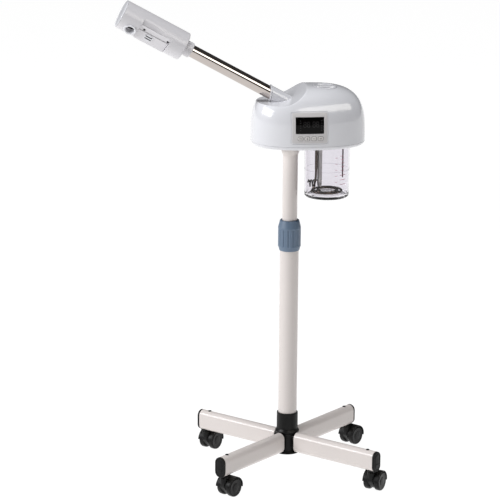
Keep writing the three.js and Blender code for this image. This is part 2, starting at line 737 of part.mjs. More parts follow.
function makeNozzle() {
  return nozzleTurned([
    [NOZZLE_BORE, 17], [NOZZLE_R, 17], [NOZZLE_R, 30], [NOZZLE_R - 1.2, 31.6],
    [NOZZLE_BORE + 1.4, 31.6], [NOZZLE_BORE, 29],
  ], 24);
}

function makeSteamHose() {
  const out = -(17 - GAP);
  return bar([
    [0, 2, HEAD_START + 9], [0, 2.6, 219], [0, 8, 232], [0, 13, 258], [0, 12, 298], [0, 4, 319],
    [0, -8, NOZZLE_S], [0, out, NOZZLE_S],
  ], 6.4, 12);
}

function makeOzoneLamp() {
  return turned([
    [0, 232], [7, 232], [7, 242], [6, 244], [6, 280], [4.5, 284.5], [0, 286],
  ], 16, 0, -9);
}

piece('head_shell', makeHeadShell(), 'head_white', headGroup);
piece('head_end_cap', makeEndCap(), 'gloss_white', headGroup);
piece('lamp_cover', makeLampCover(), 'head_white', headGroup);
piece('nozzle', makeNozzle(), 'gloss_white', headGroup);
piece('steam_hose', makeSteamHose(), 'duct_silicone', headGroup);
piece('ozone_lamp', makeOzoneLamp(), 'lamp_glass', headGroup);

export default group;
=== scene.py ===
"""Looks of a facial steamer on a rolling stand, laid out as a Blender add-on.

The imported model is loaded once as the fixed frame. Each operator makes one
group of pieces as numpy surfaces around it. Lengths inside the script are in
millimetres, measured from the column's axis on the floor.
"""

import math

import bpy
import numpy as np
from mathutils import Matrix, Quaternion, Vector


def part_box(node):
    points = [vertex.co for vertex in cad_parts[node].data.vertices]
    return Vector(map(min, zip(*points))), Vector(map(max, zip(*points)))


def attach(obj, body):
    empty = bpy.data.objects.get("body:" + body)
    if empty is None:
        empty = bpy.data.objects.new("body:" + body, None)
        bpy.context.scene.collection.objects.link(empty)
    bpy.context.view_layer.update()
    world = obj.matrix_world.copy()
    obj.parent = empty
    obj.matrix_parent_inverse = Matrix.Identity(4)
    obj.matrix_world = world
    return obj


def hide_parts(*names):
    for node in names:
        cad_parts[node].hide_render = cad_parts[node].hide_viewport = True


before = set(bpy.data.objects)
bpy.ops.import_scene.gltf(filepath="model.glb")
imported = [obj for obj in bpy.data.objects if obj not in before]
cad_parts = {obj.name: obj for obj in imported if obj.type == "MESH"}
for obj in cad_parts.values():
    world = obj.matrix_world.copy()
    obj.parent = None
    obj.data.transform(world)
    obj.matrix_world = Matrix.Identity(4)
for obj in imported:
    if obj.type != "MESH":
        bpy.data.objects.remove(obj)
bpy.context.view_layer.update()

bl_info = {
    "name": "Facial Steamer",
    "version": (1, 0, 0),
    "blender": (4, 5, 0),
    "location": "3D View > Sidebar > Steamer",
    "description": "Builds a salon facial steamer on a telescopic stand with four castors",
    "category": "Object",
}

# ------------------------------------------------------------------ sizes, mm

MM = 0.001
COLUMN = [sum(c) / 2 / MM for c in zip(*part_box("upper_column"))]
LEGS = {
    "front_right": (-45, 54),
    "back_right": (45, 42),
    "back_left": (135, 47),
    "front_left": (225, 42),
}
STEM = 222.0
LEG_MIDDLE = 69.0
TRAIL = 18.0
WHEEL = 20.0
NUT = (493.0, 559.0, 24.3, 14)
CASE = {
    "x": 36.0, "a": 120.0, "b": 85.0, "power": 2.4, "side": 3.5,
    "start": 733.0, "shelf": 815.0, "dome": 849.0, "scoop": -32.0, "bend": 0.0088,
}
PANEL = (-9.0, 64.0, 741.0, 804.0)
WINDOW = (-1.8, 56.8, 761.0, 795.3)
KEY_X = (8.1, 21.9, 35.9, 50.0)
KEY_Z = 750.8
FILL = (69.0, -12.0)
JAR_X = 78.0
ARM = (-47.7, 834.3, 28.9)
HEAD_TURN = 40.0
HEAD_R = 30.5
FLAT = (238.0, 308.0, 21.5)
NOZZLE_S = 323.0

# ------------------------------------------------------------------- colours


def linear(code):
    """An sRGB hex colour as linear RGBA."""
    srgb = np.array([int(code[i : i + 2], 16) for i in (1, 3, 5)]) / 255
    rgb = np.where(srgb <= 0.04045, srgb / 12.92, ((srgb + 0.055) / 1.055) ** 2.4)
    return (*(float(c) for c in rgb), 1.0)


# -------------------------------------------------------------------- frames


def rotation(axis, degrees):
    """A 4x4 rotation about a named axis."""
    return np.array(Matrix.Rotation(math.radians(degrees), 4, axis))


def offset(x, y, z):
    """A 4x4 offset in millimetres."""
    return np.array(Matrix.Translation((x, y, z)))


STAND = offset(COLUMN[0], COLUMN[1], 0)
ARM_FRAME = STAND @ offset(ARM[0], 0, ARM[1]) @ rotation("Y", ARM[2] - 90)
HEAD_FRAME = ARM_FRAME @ rotation("Z", -HEAD_TURN)
# Across, along and outward on the flat of the head.
COVER_FRAME = HEAD_FRAME @ rotation("X", 90)
NOZZLE_FRAME = HEAD_FRAME @ offset(0, 0, NOZZLE_S) @ rotation("X", 90)


def leg_frame(name):
    """+X runs out along the leg."""
    return STAND @ rotation("Z", LEGS[name][0])


def castor_frame(name):
    """The stem is the Z axis and the castor trails along +X."""
    azimuth, trail = LEGS[name]
    return leg_frame(name) @ offset(STEM, 0, 0) @ rotation("Z", trail - azimuth)


# ------------------------------------------------------------------ surfaces


def smooth(a, b, x):
    """Smooth step: 0 below a, 1 above b, 3t^2 - 2t^3 between."""
    t = np.clip((x - a) / (b - a), 0, 1)
    return t * t * (3 - 2 * t)


def power(v, p):
    """Signed power, for superellipses."""
    return np.sign(v) * np.abs(v) ** p


def eased(outline, reach=0.6, steps=4, on_axis=True):
    """Rounds a closed outline. Each corner becomes the quadratic curve
    (1-t)^2 A + 2t(1-t) V + t^2 B, where A and B lie `reach` away from the
    corner V along its two sides. Points on the axis keep their place."""
    corner = np.asarray(outline, float)
    back = np.roll(corner, 1, 0) - corner
    ahead = np.roll(corner, -1, 0) - corner
    before = np.linalg.norm(back, axis=1)
    after = np.linalg.norm(ahead, axis=1)
    cut = np.minimum(reach, 0.45 * np.minimum(before, after))
    if on_axis:
        cut = np.where(corner[:, 0] < 1e-6, 0, cut)
    a = corner + back * (cut / before)[:, None]
    b = corner + ahead * (cut / after)[:, None]
    t = np.linspace(0, 1, steps + 1)[None, :, None]
    curve = (1 - t) ** 2 * a[:, None] + 2 * t * (1 - t) * corner[:, None] + t**2 * b[:, None]
    return curve.reshape(-1, 2)


def turned(outline, sides=96, reach=0.6, steps=4):
    """A closed outline of (radius, height) turned about Z: (r cos a, r sin a, z)."""
    r, z = eased(outline, reach, steps).T
    a = np.arange(sides) * 2 * np.pi / sides
    return np.stack([np.outer(r, np.cos(a)), np.outer(r, np.sin(a)), np.repeat(z[:, None], sides, 1)], -1)


def rounded_rect(half_width, half_height, corner, arc=6, side=6):
    """Outline of a rectangle with round corners, with points along its sides
    too, so that outlines of different sizes match point for point."""
    corner = min(corner, half_width, half_height)
    a = (np.arange(4)[:, None] + np.linspace(0, 1, arc + 1)) * np.pi / 2
    sx = np.array([1, -1, -1, 1])[:, None]
    sy = np.array([1, 1, -1, -1])[:, None]
    arcs = np.stack(
        [sx * (half_width - corner) + corner * np.cos(a), sy * (half_height - corner) + corner * np.sin(a)], -1
    )
    t = (np.arange(1, side) / side)[None, :, None]
    sides = arcs[:, -1:] * (1 - t) + np.roll(arcs, -1, 0)[:, :1] * t
    return np.concatenate([arcs, sides], 1).reshape(-1, 2)


def stepped(rows, arc=6, side=3):
    """A solid stacked from rounded rectangles. A row gives half width, half
    height, corner radius and level, and the first and last close to a line."""
    outlines = [rounded_rect(w, h, c, arc, side) for w, h, c, _ in rows]
    rings = [np.column_stack([o, np.full(len(o), row[3])]) for o, row in zip(outlines, rows)]
    return np.stack(rings)


def pad(half_width, half_height, corner, low, high, edge=0.5):
    """A flat plate with an eased upper edge, between two levels."""
    turn = np.linspace(0, np.pi / 2, 5)
    inset = edge * (1 - np.cos(turn))
    rise = high - edge + edge * np.sin(turn)
    rim = [(half_width - i, half_height - i, max(corner - i, 0.1), z) for i, z in zip(inset, rise)]
    narrow = min(half_width, half_height)
    middle = (half_width - narrow + 1e-3, half_height - narrow + 1e-3, 1e-3)
    return stepped([(*middle, low), (half_width, half_height, corner, low), *rim, (*middle, high)])


def swept(path, radius, sides=20, up=(0, 0, 1)):
    """A round bar along a path. The ring at each point is
    P + r (cos a N + sin a B), where N = T x up and B = T x N."""
    path = np.asarray(path, float)
    tangent = np.gradient(path, axis=0)
    tangent /= np.linalg.norm(tangent, axis=1)[:, None]
    normal = np.cross(tangent, up)
    normal /= np.linalg.norm(normal, axis=1)[:, None]
    binormal = np.cross(tangent, normal)
    a = np.arange(sides) * 2 * np.pi / sides
    ring = np.cos(a)[None, :, None] * normal[:, None] + np.sin(a)[None, :, None] * binormal[:, None]
    scale = np.broadcast_to(np.asarray(radius, float), (len(path),))[:, None, None]
    rings = path[:, None] + scale * ring
    caps = [np.repeat(path[i][None, None], sides, 1) for i in (0, -1)]
    return np.concatenate([caps[0], rings, caps[1]])


def placed(grid, place):
    """A grid of points moved by a 4x4 matrix."""
    return grid @ place[:3, :3].T + place[:3, 3]


def closed_shell(grid):
    """Points, corner list and face sizes of a grid whose rows and columns each
    join the next one, the last ones the first. Points that share a place become
    one, so poles and seams close, and faces are turned to point outward."""
    flat = np.round(grid.reshape(-1, 3), 4)
    points, index = np.unique(flat, axis=0, return_inverse=True)
    index = index.reshape(grid.shape[:2])
    right = np.roll(index, -1, 1)
    faces = np.stack([index, right, np.roll(right, -1, 0), np.roll(index, -1, 0)], -1).reshape(-1, 4)
    a, b, c, d = (points[faces[:, i]] for i in range(4))
    volume = np.einsum("ij,ij->", a, np.cross(b, c)) + np.einsum("ij,ij->", a, np.cross(c, d))
    if volume < 0:
        faces = faces[:, ::-1]
    kept = faces != np.roll(faces, 1, 1)
    whole = kept.sum(1) > 2
    return points, faces[whole][kept[whole]], kept[whole].sum(1)


def make(name, body, grids, finish, replaces=(), sharp=38):
    """Makes one piece from closed grids of points in millimetres. It rides on
    a body and stands for the named CAD nodes."""
    shells = [closed_shell(g) for g in grids]
    starts = np.cumsum([0] + [len(s[0]) for s in shells])
    points = np.concatenate([s[0] for s in shells])
    corners = np.concatenate([s[1] + n for s, n in zip(shells, starts)])
    sizes = np.concatenate([s[2] for s in shells])
    mesh = bpy.data.meshes.new(name)
    mesh.vertices.add(len(points))
    mesh.vertices.foreach_set("co", (points * MM).ravel())
    mesh.loops.add(len(corners))
    mesh.loops.foreach_set("vertex_index", corners.astype(np.int32))
    mesh.polygons.add(len(sizes))
    mesh.polygons.foreach_set("loop_start", (np.cumsum(sizes) - sizes).astype(np.int32))
    mesh.polygons.foreach_set("use_smooth", np.ones(len(sizes), bool))
    mesh.update(calc_edges=True)
    if mesh.validate():
        raise RuntimeError(f"{name}: the mesh has faces that don't hold together")
    mesh.set_sharp_from_angle(angle=math.radians(sharp))
    mesh.materials.append(finish)
    piece = bpy.data.objects.new(name, mesh)
    bpy.context.scene.collection.objects.link(piece)
    flat = piece.modifiers.new("even flats", "WEIGHTED_NORMAL")
    flat.keep_sharp = True
    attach(piece, body)
    if replaces:
        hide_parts(*replaces)
    return piece


def refinish(node_name, finish):
    """Gives a CAD node that stays in view a better material."""
    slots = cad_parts[node_name].material_slots
    for slot in slots:
        slot.material = finish


# ----------------------------------------------------------------- materials


def add(tree, kind, inputs=None, **settings):
    """Adds one shader node, with its settings, and its inputs as values or links."""
    made = tree.nodes.new(kind)
    for key, value in settings.items():
        setattr(made, key, value)
    for key, value in (inputs or {}).items():
        if isinstance(value, bpy.types.NodeSocket):
            tree.links.new(value, made.inputs[key])
        else:
            made.inputs[key].default_value = value
    return made


def shade(hex_or_rgba, factor):
    """A colour made darker or lighter."""
    rgba = linear(hex_or_rgba) if isinstance(hex_or_rgba, str) else (*hex_or_rgba[:3], 1.0)
    return (*(min(1.0, c * factor) for c in rgba[:3]), 1.0)


_made = {}


def surface(
    name, colour, roughness, *, metallic=0.0, ior=1.5, grain=1.0, bump=0.02, mottle=0.03, mottle_size=25.0,
    polish=0.1, dust=0.0, coat=0.0, kind="noise", fixed=None,
):
    """A solid opaque material. `grain` is the size of its relief and `bump` its
    depth, `mottle` the colour change over patches of `mottle_size`, `polish`
    how far roughness wanders, and `dust` how much upward faces are greyed.
    Sizes are in millimetres."""
    if name in _made:
        return _made[name]
    material = bpy.data.materials.new(name)
    material.use_nodes = True
    tree = material.node_tree
    tree.nodes.clear()
    where = add(tree, "ShaderNodeTexCoord").outputs["Object"]
    patches = add(
        tree, "ShaderNodeTexNoise",
        {"Vector": where, "Scale": 1 / (mottle_size * MM), "Detail": 3.0, "Roughness": 0.55},
    )
    base = add(tree, "ShaderNodeMix", {"Factor": patches.outputs["Fac"]}, data_type="RGBA")
    base.inputs["A"].default_value = shade(colour, 1 - mottle)
    base.inputs["B"].default_value = shade(colour, 1 + mottle)
    tint = base.outputs["Result"]
    if dust > 0:
        up = add(tree, "ShaderNodeSeparateXYZ", {"Vector": add(tree, "ShaderNodeNewGeometry").outputs["Normal"]})
        upward = add(
            tree, "ShaderNodeMapRange",
            {"Value": up.outputs["Z"], "From Min": 0.3, "From Max": 1.0, "To Max": dust},
        )
        settled = add(tree, "ShaderNodeMix", {"Factor": upward.outputs["Result"], "A": tint}, data_type="RGBA")
        settled.inputs["B"].default_value = linear("#B8B2AA")
        tint = settled.outputs["Result"]
    rub = add(
        tree, "ShaderNodeTexNoise", {"Vector": where, "Scale": 1 / (9 * MM), "Detail": 4.0, "Roughness": 0.6}
    )
    rough = add(
        tree,
        "ShaderNodeMapRange",
        {
            "Value": rub.outputs["Fac"],
            "From Min": 0.3,
            "From Max": 0.7,
            "To Min": roughness * (1 - polish),
            "To Max": min(1.0, roughness * (1 + polish)),
        },
    )
    if kind == "grain":
        cells = add(tree, "ShaderNodeTexVoronoi", {"Vector": where, "Scale": 1 / (grain * MM)})
        relief = cells.outputs["Distance"]
    elif kind == "drawn":
        along = add(tree, "ShaderNodeMapping", {"Vector": where, "Scale": (1.0, 1.0, 0.02)})
        relief = add(
            tree, "ShaderNodeTexNoise",
            {"Vector": along.outputs["Vector"], "Scale": 1 / (grain * MM), "Detail": 2.0},
        ).outputs["Fac"]
    else:
        relief = add(
            tree, "ShaderNodeTexNoise",
            {"Vector": where, "Scale": 1 / (grain * MM), "Detail": 2.0, "Roughness": 0.5},
        ).outputs["Fac"]
    skin = add(tree, "ShaderNodeBump", {"Height": relief, "Strength": 1.0, "Distance": bump * MM})
    shader = add(
        tree,
        "ShaderNodeBsdfPrincipled",
        {
            "Base Color": tint,
            "Roughness": rough.outputs["Result"],
            "Normal": skin.outputs["Normal"],
            "Metallic": metallic,
            "IOR": ior,
            "Coat Weight": coat,
            "Coat Roughness": 0.05,
            **(fixed or {}),
        },
    )
    add(tree, "ShaderNodeOutputMaterial", {"Surface": shader.outputs["BSDF"]})
    _made[name] = material
    return material


def clear_glass(name, colour, roughness, ior):
    """A clear solid: pressed glass or quartz, with faint ripples from the mould."""
    if name in _made:
        return _made[name]
    material = bpy.data.materials.new(name)
    material.use_nodes = True
    tree = material.node_tree
    tree.nodes.clear()
    where = add(tree, "ShaderNodeTexCoord").outputs["Object"]
    ripple = add(tree, "ShaderNodeTexNoise", {"Vector": where, "Scale": 1 / (14 * MM), "Detail": 1.0})
    skin = add(tree, "ShaderNodeBump", {"Height": ripple.outputs["Fac"], "Strength": 1.0, "Distance": 0.05 * MM})
    shader = add(
        tree,
        "ShaderNodeBsdfPrincipled",
        {
            "Base Color": linear(colour),
            "Roughness": roughness,
            "IOR": ior,
            "Transmission Weight": 1.0,
            "Normal": skin.outputs["Normal"],
        },
    )
    add(tree, "ShaderNodeOutputMaterial", {"Surface": shader.outputs["BSDF"]})
    _made[name] = material
    return material


def gloss_abs(settings):
    # ABS moulded in a polished tool: a deep wet gloss with a faint long ripple.
    return surface(
        "abs_gloss_moulded", settings.housing_colour, 0.17, ior=1.54, grain=16, bump=0.035, mottle=0.012,
        mottle_size=60, coat=0.6,
    )


def satin_abs(settings):
    # ABS from a fine-blasted tool: a softer shine than the housing.
    return surface(
        "abs_satin_moulded", settings.head_colour, 0.32, ior=1.54, grain=1.3, bump=0.012, mottle=0.015,
        mottle_size=40, coat=0.12,
    )


def powder_coat(settings):
    # Epoxy powder baked on steel tube: a warm white with orange peel of about 1.5 mm.
    return surface(
        "powder_coated_steel_tube", settings.enamel_colour, 0.3, ior=1.52, grain=1.6, bump=0.03, mottle=0.02,
        mottle_size=70, coat=0.2,
    )


def black_pp():
    # Polypropylene with spark-eroded grain, drawn at 0.9 mm so that it shows.
    return surface(
        "polypropylene_black_grained", "#0C0C0C", 0.42, ior=1.49, grain=0.9, bump=0.03, mottle=0.12,
        mottle_size=12, polish=0.25, dust=0.02, kind="grain", fixed={"Specular IOR Level": 0.22},
    )


def nylon():
    # Nylon 6 from a plain tool: nearly black, with treads that have rolled to a shine.
    return surface(
        "nylon_wheel_moulded", "#0B0A0A", 0.36, ior=1.53, grain=3.0, bump=0.03, mottle=0.2, mottle_size=7,
        polish=0.35, dust=0.02, fixed={"Specular IOR Level": 0.22},
    )


def nut_nylon(settings):
    # Glass-filled nylon, coloured in the mass: matt, with streaks of fibre.
    return surface(
        "nylon_glass_filled_blue", settings.nut_colour, 0.4, ior=1.53, grain=0.8, bump=0.025, mottle=0.09,
        mottle_size=6, polish=0.25,
    )


def chrome():
    # Bright nickel and chrome plate on drawn steel tube: a clean mirror with slight wipe marks.
    return surface(
        "chrome_plated_steel", "#C2BAB5", 0.055, metallic=1.0, grain=30, bump=0.01, mottle=0.01, polish=0.35,
    )


def borosilicate():
    # Pressed borosilicate glass with a heavy foot. Its index is below the usual 1.47,
    # which keeps the foot as pale as a bright studio does.
    return clear_glass("borosilicate_glass_pressed", "#EFEDF1", 0.01, 1.3)


def quartz():
    # Fused quartz of the lamp.
    return clear_glass("quartz_lamp_tube", "#F1F3F7", 0.03, 1.46)


def acrylic():
    # Tinted acrylic over the display: black, flat and very shiny.
    return surface(
        "acrylic_tinted_window", "#050404", 0.06, ior=1.49, grain=40, bump=0.005, mottle=0.02,
        fixed={"Specular IOR Level": 0.12},
    )


def panel_film():
    # Printed polycarbonate overlay with a fine matt texture.
    return surface(
        "polycarbonate_overlay_printed", "#C6C3C3", 0.38, ior=1.58, grain=0.5, bump=0.006, mottle=0.02,
        mottle_size=18,
    )


def key_rubber():
    # Silicone keys with a hard lacquer: pale grey with a soft glow.
    return surface(
        "silicone_key_lacquered", "#D4D0CE", 0.42, ior=1.45, grain=0.6, bump=0.008, mottle=0.03, mottle_size=5,
    )


def print_dark():
    # Screen-printed ink on the keys.
    return surface("ink_dark_screen_printed", "#4A4648", 0.5, grain=0.4, bump=0.003, mottle=0.08, mottle_size=2)


def print_pink():
    # Fired ceramic ink of the scale on the jar.
    return surface("ceramic_ink_pink", "#C06A80", 0.45, grain=0.5, bump=0.004, mottle=0.08, mottle_size=3)


def unlit_segment():
    # Unlit display segments behind the window.
    return surface("display_segment_unlit", "#262425", 0.3, grain=0.5, bump=0.002, mottle=0.05, mottle_size=3)


def painted_shade_black():
    # Painted shade: a flat near-black that stands in for the shade inside the vent slots, the gaps round the keys
    # and the nozzle's bore.
    return surface(
        "painted_shade_dark", "#0E0D0D", 0.8, grain=0.7, bump=0.1, mottle=0.2, mottle_size=2, kind="grain"
    )


def heater_sheath():
    # Nickel alloy heater sheath, drawn and then oxidised brown-black by boiling dry.
    return surface(
        "nickel_alloy_sheath_oxidised", "#4B3F38", 0.36, metallic=1.0, grain=1.2, bump=0.02, mottle=0.35,
        mottle_size=9, polish=0.3,
    )


def coil_black():
    # The wound end of the sheath, with baked-on scale.
    return surface(
        "nickel_alloy_scaled_black", "#1F1B1A", 0.4, metallic=0.6, grain=1.0, bump=0.05, mottle=0.3,
        mottle_size=4,
    )


def zinc_steel():
    # Zinc-plated steel fixings: bright grey with a slightly cloudy polish.
    return surface(
        "zinc_plated_steel", "#A9A7A4", 0.34, metallic=1.0, grain=0.6, bump=0.01, mottle=0.08, mottle_size=4,
        polish=0.3,
    )


def black_screw():
    # Black oxide on steel screws: dark with a dull metal sheen.
    return surface(
        "black_oxide_steel", "#2A2829", 0.38, metallic=0.8, grain=0.6, bump=0.01, mottle=0.15, mottle_size=2,
    )


def stainless_plate():
    # Pressed stainless steel with the fine lines of the sheet's rolling.
    return surface(
        "stainless_steel_pressed", "#BDBBB8", 0.28, metallic=1.0, grain=0.6, bump=0.01, mottle=0.04,
        kind="drawn",
    )


def probe_sleeve():
    # PTFE sleeve shrunk on the level probe: brown-red and waxy.
    return surface(
        "ptfe_sleeve_brown_red", "#5B3A44", 0.4, ior=1.38, grain=1.5, bump=0.02, mottle=0.1, mottle_size=8
    )


def silicone_seal():
    # Moulded silicone: matt, slightly translucent off-white.
    return surface("silicone_rubber_seal", "#D8D4CC", 0.6, ior=1.43, grain=0.8, bump=0.02, mottle=0.03)


def silicone_hose():
    # Extruded silicone hose.
    return surface("silicone_hose_extruded", "#CFC9C0", 0.5, ior=1.43, grain=1.2, bump=0.02, mottle=0.04)


def circuit():
    # Solder mask on glass-fibre laminate.
    return surface(
        "fr4_solder_mask_green", "#2F5D3A", 0.3, ior=1.55, grain=0.6, bump=0.02, mottle=0.15, mottle_size=4
    )


def strip_glow():
    # Diffusion cloth of a long softbox, seen only as a cream highlight in glossy skins.
    material = bpy.data.materials.new("diffusion_cloth_lit")
    material.use_nodes = True
    tree = material.node_tree
    tree.nodes.clear()
    glow = add(tree, "ShaderNodeEmission", {"Color": (1.0, 0.97, 0.9, 1.0), "Strength": 3.6})
    add(tree, "ShaderNodeOutputMaterial", {"Surface": glow.outputs["Emission"]})
    material.cycles.emission_sampling = "NONE"
    return material


def studio_floor():
    """Pale matt floor with light of its own, as a lit photographic table has."""
    if "studio_floor_pale" in _made:
        return _made["studio_floor_pale"]
    material = bpy.data.materials.new("studio_floor_pale")
    material.use_nodes = True
    tree = material.node_tree
    tree.nodes.clear()
    shader = add(
        tree,
        "ShaderNodeBsdfPrincipled",
        {
            "Base Color": (0.1, 0.1, 0.1, 1.0),
            "Roughness": 0.9,
            "Emission Color": (1.0, 1.0, 1.0, 1.0),
            "Emission Strength": 0.97,
        },
    )
    add(tree, "ShaderNodeOutputMaterial", {"Surface": shader.outputs["BSDF"]})
    _made["studio_floor_pale"] = material
    material.cycles.emission_sampling = "NONE"
    return material


# ------------------------------------------------------------------- screws


def screw(radius, height):
    """A pan-head screw about +Z from level 0. The height over the disc is
    h (1 - (r/R)^2 / 3), less a cross whose arms are |u| < 0.16 R."""
    r = radius * np.concatenate([[0], np.linspace(0.08, 0.94, 14), [0.985, 1.0, 1.0]])
    a = np.arange(48) * 2 * np.pi / 48
    x, y = np.outer(r, np.cos(a)), np.outer(r, np.sin(a))
    top = height * (1 - (r / radius) ** 2 / 3)
    top[-2:] = [height * 0.45, 0]
    arm = np.minimum(np.abs(x), np.abs(y))
    reach = 1 - smooth(0.5 * radius, 0.66 * radius, np.hypot(x, y))
    cross = (1 - smooth(0.1 * radius, 0.2 * radius, arm)) * reach
    z = top[:, None] - 0.75 * height * cross
    rows = np.stack([x, y, z], -1)
    base = np.zeros((1, 48, 3))
    return np.concatenate([rows, base])


# ---------------------------------------------------------------- cross base


def oval(half_width, half_height, count=16):
    """A flat oval: a rectangle with half-round ends above and below."""
    a = np.linspace(0, np.pi, count + 1)
    top = np.column_stack([half_width * np.cos(a), half_height - half_width + half_width * np.sin(a)])
    return np.concatenate([top, -top])


def oval_bar(rows):
    """A bar along X with oval ends; rows give inset and place along X."""
    rings = []
    for inset, x in rows:
        section = oval(12.5 - inset, 22.0 - inset)
        rings.append(np.column_stack([np.full(len(section), x), section[:, 0], LEG_MIDDLE + section[:, 1]]))
    return np.stack(rings)


def leg_tube(wall):
    """Hollow oval tube: outer skin, end rim, inner skin, other rim."""
    x0, x1 = 26.3, 232.0
    outer = [(0.25, x0), (0, x0 + 0.25), *((0, x) for x in np.linspace(x0 + 4, x1 - 4, 12))]
    outer += [(0, x1 - 0.25), (0.25, x1)]
    inner = [(wall, x1), *((wall, x) for x in np.linspace(x1 - 4, x0 + 4, 4)), (wall, x0)]
    return oval_bar(outer + inner)


def end_plug():
    """Cover of the leg's end: a shallow rim, a recessed oval and a raised middle."""
    x = 232.3
    face = [
        (12.4, x), (0.0, x), (0.0, x + 3.6), (0.4, x + 4.5), (1.4, x + 5.0), (3.1, x + 5.0),
        (3.7, x + 4.3), (5.1, x + 4.2), (5.8, x + 4.8), (8.0, x + 5.0), (11.0, x + 5.0), (12.4, x + 5.0),
    ]
    return oval_bar(face)


def plug_neck():
    """Neck from the plug down to the castor: rounded rectangles that narrow."""
    rows = [
        (0.01, 0.01, 0.005, 44.9), (5.0, 4.6, 3.0, 44.9), (5.4, 5.0, 3.2, 45.6), (7.6, 5.8, 3.4, 52.0),
        (9.0, 6.6, 3.4, 58.0), (9.6, 7.0, 3.2, 64.0), (0.01, 0.01, 0.005, 64.0),
    ]
    return stepped(rows)


def hub_sleeve():
    """Turned sleeve about the column, flared above the legs, over a plain core."""
    outline = [
        (0, 62), (10, 62), (10, 44), (26.4, 44), (27, 45), (26.6, 46.7), (20.9, 49.8), (20.5, 52), (20.5, 84),
        (21.4, 87), (25.6, 91.0), (25.9, 92.6), (24.2, 95.2), (22.7, 98.5), (22.7, 131.5), (22.2, 134),
        (20.4, 134), (20.4, 62.5), (0, 62.5),
    ]
    return turned(outline, 128, 0.8)


def castor_body():
    """Two hood humps, a web between the wheels, a stem boss and an axle.
    A hump's skin is (18 + r cos a, y, 20 + r sin a) with r(y) rounded at both
    sides, so the pair reads as two swellings with a dip between."""
    grids = []
    a = np.linspace(-0.1, np.pi * 0.97, 40)
    for side in (-1, 1):
        section = eased([(20.7, 18.6), (20.7, 1.2), (23.4, 1.2), (23.4, 18.6)], 2.6, 6, False)
        section[:, 0] = np.maximum(section[:, 0], 20.65)
        r, y = section.T
        taper = 1 - 0.35 * smooth(0.35, 0.0, a + 0.1)
        reach = 20.65 + (r[None] - 20.65) * taper[:, None]
        ring = np.stack(
            [
                TRAIL + reach * np.cos(a)[:, None],
                np.broadcast_to(side * y, reach.shape),
                WHEEL + reach * np.sin(a)[:, None],
            ],
            -1,
        )
        ends = [np.repeat(ring[i].mean(0)[None, None], ring.shape[1], 1) for i in (0, -1)]
        grids.append(np.concatenate([ends[0], ring, ends[1]]))
    web = eased(
        [
            (-6.4, 24), (-6.4, 39), (2, 41.2), (16, 42.4), (28, 40),
            (34.5, 28), (33, 12), (24, 4.6), (12, 4.6), (3, 12),
        ],
        2.5, 4, False,
    )
    middle = web.mean(0)
    rings = []
    for scale, y in ((0.02, -5.9), (0.97, -5.9), (1, -5.4), (1, 5.4), (0.97, 5.9), (0.02, 5.9)):
        outline = middle + (web - middle) * scale
        rings.append(np.column_stack([outline[:, 0], np.full(len(web), y), outline[:, 1]]))
    rings[0][:] = rings[0].mean(0)
    rings[-1][:] = rings[-1].mean(0)
    grids.append(np.stack(rings))
    boss = [(0, 30), (7.6, 30), (8.4, 39), (8.4, 42.6), (7.2, 44), (4.3, 44), (4.3, 41), (0, 41)]
    grids.append(turned(boss, 48))
    axle = turned([(0, -17.6), (3, -17.6), (3, 17.6), (0, 17.6)], 32)
    grids.append(placed(axle, offset(TRAIL, 0, WHEEL) @ rotation("X", 90)))
    return grids


def castor_wheel(side):
    """Turned about the axle: a crowned tread, a dished cheek and a hub boss."""
    outline = [
        (0, 6.4), (18.4, 6.4), (19.6, 7.4), (20.0, 9.2), (20.0, 15.6), (19.2, 17.6), (17.0, 18.5), (15.4, 18.0),
        (9.4, 17.6), (8.8, 18.4), (4.6, 18.8), (0, 18.8),
    ]
    wheel = turned(outline, 96, 0.8)
    return placed(wheel, offset(TRAIL, 0, WHEEL) @ rotation("X", -90 if side > 0 else 90))


# -------------------------------------------------------------------- column


def fluted_nut():
    """Turned nut with 14 grooves: r falls by 1.7 mm in each groove, shaped by
    exp(-(angle / 3.4 deg)^2), and the grooves fade out at both ends."""
    low, high, radius, flutes = NUT
    outline = [
        (20.5, low), (21.4, low), (23.4, 500.5), (24.3, 502), (24.3, 541), (24.2, 543.4),
        (20.7, 557.4), (19.4, high),
        (16.6, high), (16.6, 551.4), (20.45, 551),
    ]
    r, z = eased(outline, 0.8, 5).T
    line = np.linspace(502.5, 541, 22)[1:-1]
    cut_at = int(np.argmax(z > 520))
    r = np.insert(r, cut_at, np.full(len(line), radius))
    z = np.insert(z, cut_at, line)
    a = np.arange(336) * 2 * np.pi / 336
    pitch = 2 * np.pi / flutes
    near = (a + pitch / 2) % pitch - pitch / 2
    groove = np.exp(-((near / math.radians(3.4)) ** 2))
    swell = 0.35 * np.cos(near * flutes / 2) ** 2
    fade = smooth(502.5, 505, z) * smooth(541.5, 538.5, z) * (r > 22)
    reach = r[:, None] - fade[:, None] * (1.7 * groove + 0.3 - swell)[None]
    return np.stack([reach * np.cos(a), reach * np.sin(a), np.repeat(z[:, None], len(a), 1)], -1)


def pipe(outer, inner, z0, z1, sides=96):
    """A tube with eased rims."""
    outline = [(inner, z0), (outer, z0), (outer, z1), (inner, z1)]
    return turned(outline, sides, 0.35)


# ------------------------------------------------------------------- housing


